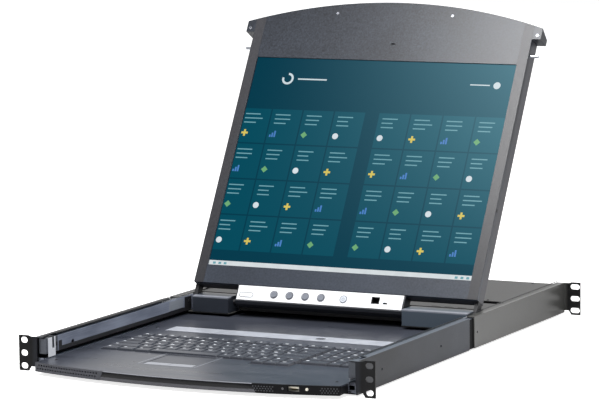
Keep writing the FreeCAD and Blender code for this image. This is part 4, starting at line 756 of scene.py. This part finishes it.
# Display lid: a pressed back with vents, the moulded bezel, and the bowed handle
# along its top, all in dark satin plastic with a fine mottled skin.
def mottled_plastic(name, low, high, roughness, painted_foot_sheen=0.0):
    """Moulded plastic with a fine speckle over slow clouds, and a painted sheen that pales it towards the foot.
    """
    plastic = Finish(name, roughness)
    speckle = plastic.grain(420.0, 4.0)
    cloud = plastic.grain(7.0, 2.0)
    # The term by height is a painted sheen, paler towards the lid's foot.
    shade = (speckle + cloud * 0.7 + (0.22 - plastic.axis("Z")) * painted_foot_sheen - 0.4).clip()
    plastic.feed("Base Color", plastic.blend(shade, low, high))
    plastic.feed("Roughness", speckle * 0.2 + (roughness - 0.1))
    plastic.raise_by(speckle, 0.00006, 0.4)
    return plastic.material


def fused(first, second):
    """Two touching nodes as one closed shape, with no seam on their shared face."""
    blanks = [stood(name, meshed(flattened(from_node(name)), name)) for name in (first, second)]
    joint = blanks[0].modifiers.new("joint", "BOOLEAN")
    joint.operation = "UNION"
    joint.solver = "EXACT"
    joint.object = blanks[1]
    whole = bmesh.new()
    whole.from_mesh(baked(blanks[0]))
    for blank in blanks:
        bpy.data.objects.remove(blank)
    bmesh.ops.remove_doubles(whole, verts=whole.verts, dist=same_spot)
    return flattened(whole)


# The lid plastic pales towards its foot: a painted sheen.
lid_plastic = mottled_plastic("lid_plastic", tint(14, 17, 24), tint(56, 63, 75), 0.33, 1.5)
lid_front = softened(fused("lid_bezel", "lid_handle"), "lid_front", 0.00022, 1)
lid_front.materials.clear()
keep("lid_front", lid_front, "display_lid", "lid_plastic", lid_plastic, "lid_bezel", "lid_handle")
dress("lid_back", powder_coat("lid_coat", tint(58, 58, 64), tint(70, 70, 76)), 0.0005)
lid_lean = math.radians(30.0)
bright_screw = flecked("bright_screw", tint(150, 152, 160), tint(196, 198, 206), 600.0, 0.26, 0.8).material
screw_heads("lid_screws", bright_screw, math.pi / 2 - lid_lean)
give(plated, "screen_module")
dress("hinge_arms", black_plastic, 0.0004)


# Side strips: narrow moulded trims down both margins of the lid, from the handle's bow
# to its foot, clipped on and a little paler than the panel between them; and a small black
# block on the lid's right side wall, painted shade standing for the dark inside of a hole there.
hinge = Vector((0.0, 0.0868, 0.0335))
lean = Matrix.Rotation(-lid_lean, 3, "X")


def lid_box(name):
    """The lowest and highest corners of a node, measured along the lid."""
    spots = [lean.inverted() @ (vert.co - hinge) for vert in frame["nodes"][name].data.vertices]
    return tuple(Vector([pick(spot[i] for spot in spots) for i in range(3)]) for pick in (min, max))


def on_lid(x, z, face):
    """A point of the lid, x across and z up from the hinge line on a plane parallel to its face."""
    return hinge + lean @ Vector((x, face, z))


strip_plastic = mottled_plastic("strip_plastic", tint(30, 30, 34), tint(50, 50, 55), 0.38)
front_low, front_high = lid_box("lid_bezel")
bow_high = lid_box("lid_handle")[1]
bow_rise, bow_chamfer = 0.0325, 0.0012
bow_radius = (bow_high.x ** 2 + bow_rise ** 2) / (bow_rise * 2)
trim_lift, trim_inner = 0.0002, 0.1892


def bow(x):
    """The height of the handle's bowed edge, less its chamfer."""
    return bow_high.z - bow_radius + math.sqrt(bow_radius ** 2 - x ** 2) - bow_chamfer


for side, name in ((-1, "left_trim"), (1, "right_trim")):
    corners = [(side * trim_inner, front_low.z), (side * front_high.x, front_low.z),
               (side * front_high.x, bow(front_high.x)), (side * trim_inner, bow(trim_inner))]
    strip = bmesh.new()
    rings = [[strip.verts.new(on_lid(x, z, front_low.y - lift)) for x, z in corners]
             for lift in (0.0, trim_lift)]
    strip.faces.new(rings[0])
    strip.faces.new(rings[1])
    for index in range(4):
        following = (index + 1) % 4
        strip.faces.new((rings[0][index], rings[0][following], rings[1][following], rings[1][index]))
    bmesh.ops.recalc_face_normals(strip, faces=strip.faces)
    keep(name, softened(strip, name, 0.0001, 1), "display_lid", "lid_plastic", strip_plastic)
# A black block of painted shade for a small hole in the right side wall.
hole_shade = bmesh.new()
hole_shade_lift = 0.0002
bmesh.ops.convex_hull(hole_shade, input=[hole_shade.verts.new(on_lid(x, z, front_low.y + depth))
                                   for x in (front_high.x - hole_shade_lift, front_high.x + hole_shade_lift)
                                   for z in (0.1415, 0.1460) for depth in (0.0010, 0.0055)])
keep("side_hole_shade", softened(hole_shade, "side_hole_shade", 0.0001, 1), "display_lid", "black_plastic", black_plastic)


# Control housing at the lid's foot: a white panel with four menu buttons, a power
# button, a square socket and a small slide switch in a black moulded chin. Collars, sign
# and end plate are flat prints; turned steel pins stand at both sides of the lid.
def panes(name, outlines, face, finish, slot="screen"):
    """Keeps flat layers on a plane of the lid, each with its own outline."""
    shape = bmesh.new()
    for outline in outlines:
        shape.faces.new([shape.verts.new(on_lid(x, z, face)) for x, z in outline])
    keep(name, meshed(shape, name), "display_lid", slot, finish)


def ring(x, z, outer, inner, share=1.0, steps=28):
    """A part of a ring as quads, its share clockwise from the top."""
    quads = []
    for index in range(round(steps * share)):
        first, last = [math.tau * (0.25 - (index + step) / steps) for step in (0, 1)]
        quads.append([(x + inner * math.cos(first), z + inner * math.sin(first)),
                      (x + inner * math.cos(last), z + inner * math.sin(last)),
                      (x + outer * math.cos(last), z + outer * math.sin(last)),
                      (x + outer * math.cos(first), z + outer * math.sin(first))])
    return quads


dress("control_housing", moulded("chin_plastic", tint(30, 32, 38), tint(42, 44, 51)), 0.0007, 3)
panel_white = moulded("panel_white", tint(240, 242, 246), tint(250, 251, 253), 0.42)
dress("control_panel", panel_white, 0.0005)
button_grey = moulded("button_grey", tint(112, 116, 126), tint(134, 138, 148), 0.4)
menu_buttons = [f"menu_button_{number}" for number in (1, 2, 3, 4)]
for name in menu_buttons:
    dress(name, button_grey, 0.0005, 3)
clear_button = flecked("clear_button", tint(206, 212, 222), tint(228, 233, 240), 90.0, 0.2, coat=0.6).material
dress("power_button", clear_button, 0.0005, 3)
ring_plastic = moulded("ring_plastic", tint(84, 87, 94), tint(104, 108, 116), 0.4)
panel_low = lid_box("control_panel")[0]
print_lift = 0.00012
print_face = panel_low.y - print_lift
collars = []
for name in menu_buttons:
    low, high = lid_box(name)
    collars += ring((low.x + high.x) / 2, (low.z + high.z) / 2, 0.0056, 0.0046)
panes("button_collars", collars, print_face, ring_plastic, "button_grey")
power_low, power_high = lid_box("power_button")
power_x, power_z = (power_low.x + power_high.x) / 2, (power_low.z + power_high.z) / 2
panes("power_collar", ring(power_x, power_z, 0.0054, 0.0046), print_face, button_grey, "button_grey")
panes("power_sign", ring(power_x, power_z, 0.0020, 0.0014), power_low.y - print_lift, button_grey,
      "button_grey")


def pill(left, low, right, high):
    """The outline of a plate with round ends."""
    r = (high - low) / 2
    turns = [math.pi * (step / 10 - 0.5) for step in range(11)]
    return ([(right - r + r * math.cos(turn), low + r + r * math.sin(turn)) for turn in turns] +
            [(left + r - r * math.cos(turn), low + r - r * math.sin(turn)) for turn in turns])


plate_left, plate_low = panel_low.x + 0.003, panel_low.z + 0.0035
plate_right, plate_high, rim = panel_low.x + 0.0235, panel_low.z + 0.0105, 0.0007
panes("end_plate_rim", [pill(plate_left, plate_low, plate_right, plate_high)], print_face, ring_plastic,
      "button_grey")
panes("end_plate", [pill(plate_left + rim, plate_low + rim, plate_right - rim, plate_high - rim)],
      print_face - print_lift, panel_white, "panel_white")
dress("panel_socket", black_plastic, 0.0003)
dress("mode_switch", black_plastic, 0.0002)
pin_steel = flecked("pin_steel", tint(176, 180, 188), tint(206, 210, 218), 500.0, 0.22, 1.0,
                    (0.05, 1, 1)).material
dress("rest_pins", pin_steel, 0.0003)


# Screen: the front glass over a lit teal ground, which a painted glare, standing for the
# reflection on the glass, pales towards the upper right, and a pale task bar along its foot.
# All of the picture is made of thin lit layers on the glass.
glass_low, glass_high = lid_box("screen_glass")
glass_face = glass_low.y
lap = 0.002
view_left, view_right = glass_low.x + lap, glass_high.x - lap
view_low, view_high = glass_low.z + lap, glass_high.z - lap


def lit(name, color):
    """A lit colour of the picture, under the same glossy glass."""
    glow = Finish(name, 0.3, gloss=0.12)
    glow.feed("Base Color", glass_black)
    dim = tint(*[0.9 * part for part in color])
    glow.shine(glow.blend(glow.grain(90.0, 1.0), dim, tint(*color)))
    return glow.material


def with_painted_glare(name, low, high):
    """A lit colour that a painted glare, standing for the glass's reflection, pales towards the picture's upper
    right.
    """
    glow = Finish(name, 0.3, gloss=0.01)
    glow.feed("Base Color", glass_black)
    # Painted glare: pales the colour to the right and upwards.
    rightward = glow.axis("X") * (1 / picture_wide) + 0.5
    upward = (glow.axis("Z") - picture_foot) * (1 / picture_tall)
    painted_glare = (rightward.power(1.6) * (upward.power(1.3) * 0.9 + 0.1)).clip()
    glow.shine(glow.blend(painted_glare, low, high))
    return glow.material


def framed(left, low, right, high):
    return [(left, low), (right, low), (right, high), (left, high)]


glass_black = (0.001, 0.001, 0.001, 1.0)
picture_wide, picture_tall, picture_foot = 0.378, 0.266, 0.076
give(with_painted_glare("screen_ground_with_glare", tint(0, 58, 76), tint(84, 128, 142)), "screen_glass")
layer = 0.00015
bar_top = view_low + 0.0072
panes("task_bar", [framed(view_left, view_low, view_right, bar_top)], glass_face - layer,
      lit("bar_light", (222, 229, 232)))


# Start page of the screen: a heading with a round mark over two blocks of tiles, four
# by four, which the screen's edges cut. Each tile has three short lines and a plain sign
# at its foot: a disc, a diamond, steps or a cross, in four colours.
tile_wide, tile_tall, tile_gap = 0.0442, 0.0498, 0.0020
sign_size, line_half, line_pitch = 0.0048, 0.0008, 0.0062
tiles, lines = [], []
signs = {"sign_white": [], "sign_yellow": [], "sign_blue": [], "sign_green": []}


def disc(x, z, radius):
    return [(x + radius * math.cos(turn), z + radius * math.sin(turn))
            for turn in [math.tau * step / 16 for step in range(16)]]


def sign(kind, x, z):
    """A small plain shape on a tile."""
    r = sign_size
    if kind == 0:
        return [disc(x, z, r * 0.9)]
    if kind == 1:
        return [[(x - r, z), (x, z - r), (x + r, z), (x, z + r)]]
    if kind == 2:
        return [framed(x - r + 0.7 * r * i, z - r, x - r + 0.7 * r * i + 0.5 * r, z - r + (0.7 + 0.6 * i) * r)
                for i in range(3)]
    return [framed(x - r, z - 0.3 * r, x + r, z + 0.3 * r),
            framed(x - 0.3 * r, z + 0.3 * r, x + 0.3 * r, z + r),
            framed(x - 0.3 * r, z - r, x + 0.3 * r, z - 0.3 * r)]


first_tile = view_low + 0.0225
for block_index, block_left in enumerate((view_left - 0.0055, view_left + 0.1980)):
    for row in range(4):
        for column in range(4):
            left = block_left + column * (tile_wide + tile_gap)
            low = first_tile + row * (tile_tall + tile_gap)
            tiles.append(framed(max(left, view_left), low, min(left + tile_wide, view_right), low + tile_tall))
            turn = column * 3 + row * 5 + block_index
            sign_x = max(left + 0.0080, view_left + 0.0065)
            signs[list(signs)[turn * 7 % 4]] += sign(turn % 4, sign_x, low + 0.0140)
            for index, share in enumerate((0.50, 0.36 + 0.08 * (turn % 4), 0.40)):
                z = low + tile_tall - 0.0080 - line_pitch * index
                start = max(left + 0.0060, view_left + 0.0020)
                lines.append(framed(start, z - line_half, start + tile_wide * share, z + line_half))
for first in (view_left + 0.006, view_right - 0.024):
    lines += [framed(first + 0.008 * i, view_low + 0.002, first + 0.004 + 0.008 * i, bar_top - 0.002)
              for i in range(3)]
panes("tiles", tiles, glass_face - layer, with_painted_glare("tile_face", tint(0, 74, 92), tint(90, 140, 154)))
panes("tile_lines", lines, glass_face - layer * 2, lit("line_pale", (112, 168, 180)))
for name, color in (("sign_white", (222, 232, 238)), ("sign_yellow", (224, 204, 96)),
                    ("sign_blue", (74, 132, 204)), ("sign_green", (112, 176, 120))):
    panes(name, signs[name], glass_face - layer * 2, lit(f"{name}_light", color))
header = view_high - 0.030
panes("heading", ring(view_left + 0.052, header, 0.0085, 0.0055, 0.8) +
      [framed(view_left + 0.067, header - 0.001, view_left + 0.110, header + 0.001),
       framed(view_right - 0.060, header - 0.0008, view_right - 0.032, header + 0.0008),
       disc(view_right - 0.022, header, 0.005)], glass_face - layer, lit("heading_light", (214, 228, 234)))


# Studio: a pale floor, soft lamps at a plain level, and the camera where the
# photographer stood, in front and to the right, a little above the open drawer.
world = bpy.data.worlds.new("studio")
bpy.context.scene.world = world
world.use_nodes = True
air = world.node_tree
direct, glossy, clear = [node(air, "ShaderNodeLightPath", {}, {}, name) for name in
                         ("Is Camera Ray", "Is Glossy Ray", "Is Transmission Ray")]
toward = node(air, "ShaderNodeTexCoord", {}, {}, "Generated")
rearward, skyward = [node(air, "ShaderNodeSeparateXYZ", {}, {0: toward}, letter) for letter in "YZ"]
tent = (rearward * 0.9 + skyward * 0.8 + 0.5).clip()
mirrored = (glossy + clear).clip()
level = (tent * 0.4 + 0.18) * (1 - mirrored) + (tent * 0.85 + 0.08) * mirrored
backdrop = air.nodes["Background"]
air.links.new((level * (1 - direct) + direct).socket, backdrop.inputs["Strength"])
backdrop.inputs["Color"].default_value = (1.0, 1.0, 1.0, 1.0)

floor_mesh = bpy.data.meshes.new("floor")
reach, floor_height = 6.0, -0.0002
corners = [(x * reach, y * reach, floor_height) for x, y in ((-1, -1), (1, -1), (1, 1), (-1, 1))]
floor_mesh.from_pydata(corners, [], [(0, 1, 2, 3)])
paper = flecked("floor_paper", tint(238, 238, 238), tint(242, 242, 242), 3.0, 0.9)
straight = paper.node("ShaderNodeLightPath", {}, {}, "Is Camera Ray")
paper.shine(paper.blend(straight, (0.0, 0.0, 0.0, 1.0), (0.80, 0.80, 0.80, 1.0)))
floor_mesh.materials.append(paper.material)
stood("floor", floor_mesh)


def lamp(name, place, aim, size, power):
    """A square softbox aimed at a point."""
    light = bpy.data.lights.new(name, "AREA")
    light.size = size
    light.energy = power
    item = stood(name, light)
    item.location = place
    item.rotation_euler = (Vector(aim) - Vector(place)).to_track_quat("-Z", "Y").to_euler()
    item.visible_camera = False


lamp("key_light", (0.45, -0.75, 1.75), (0.05, 0.1, 0.15), 1.3, 22)
lamp("side_light", (2.2, 1.0, 0.9), (0.1, 0.2, 0.05), 1.4, 9)
lamp("lid_light", (0.0, -0.27, 1.05), (0.12, 0.25, 0.35), 0.5, 10.5)

yaw, pitch, roll = 0.4590, 0.1285, -0.0107
forward = Vector((-math.sin(yaw) * math.cos(pitch), math.cos(yaw) * math.cos(pitch), -math.sin(pitch)))
right = Vector((math.cos(yaw), math.sin(yaw), 0.0))
up = right.cross(forward)
tilted_right = math.cos(roll) * right + math.sin(roll) * up
tilted_up = -math.sin(roll) * right + math.cos(roll) * up
lens_data = bpy.data.cameras.new("camera")
lens_data.lens = 195.4
lens_data.shift_x = -0.01678
lens_data.shift_y = 0.00683
camera = stood("camera", lens_data)
axes = Matrix((tilted_right, tilted_up, -forward)).transposed().to_4x4()
camera.matrix_world = Matrix.Translation((1.8166, -3.6532, 0.7068)) @ axes
bpy.context.scene.camera = camera

bpy.context.scene.view_settings.view_transform = "Standard"
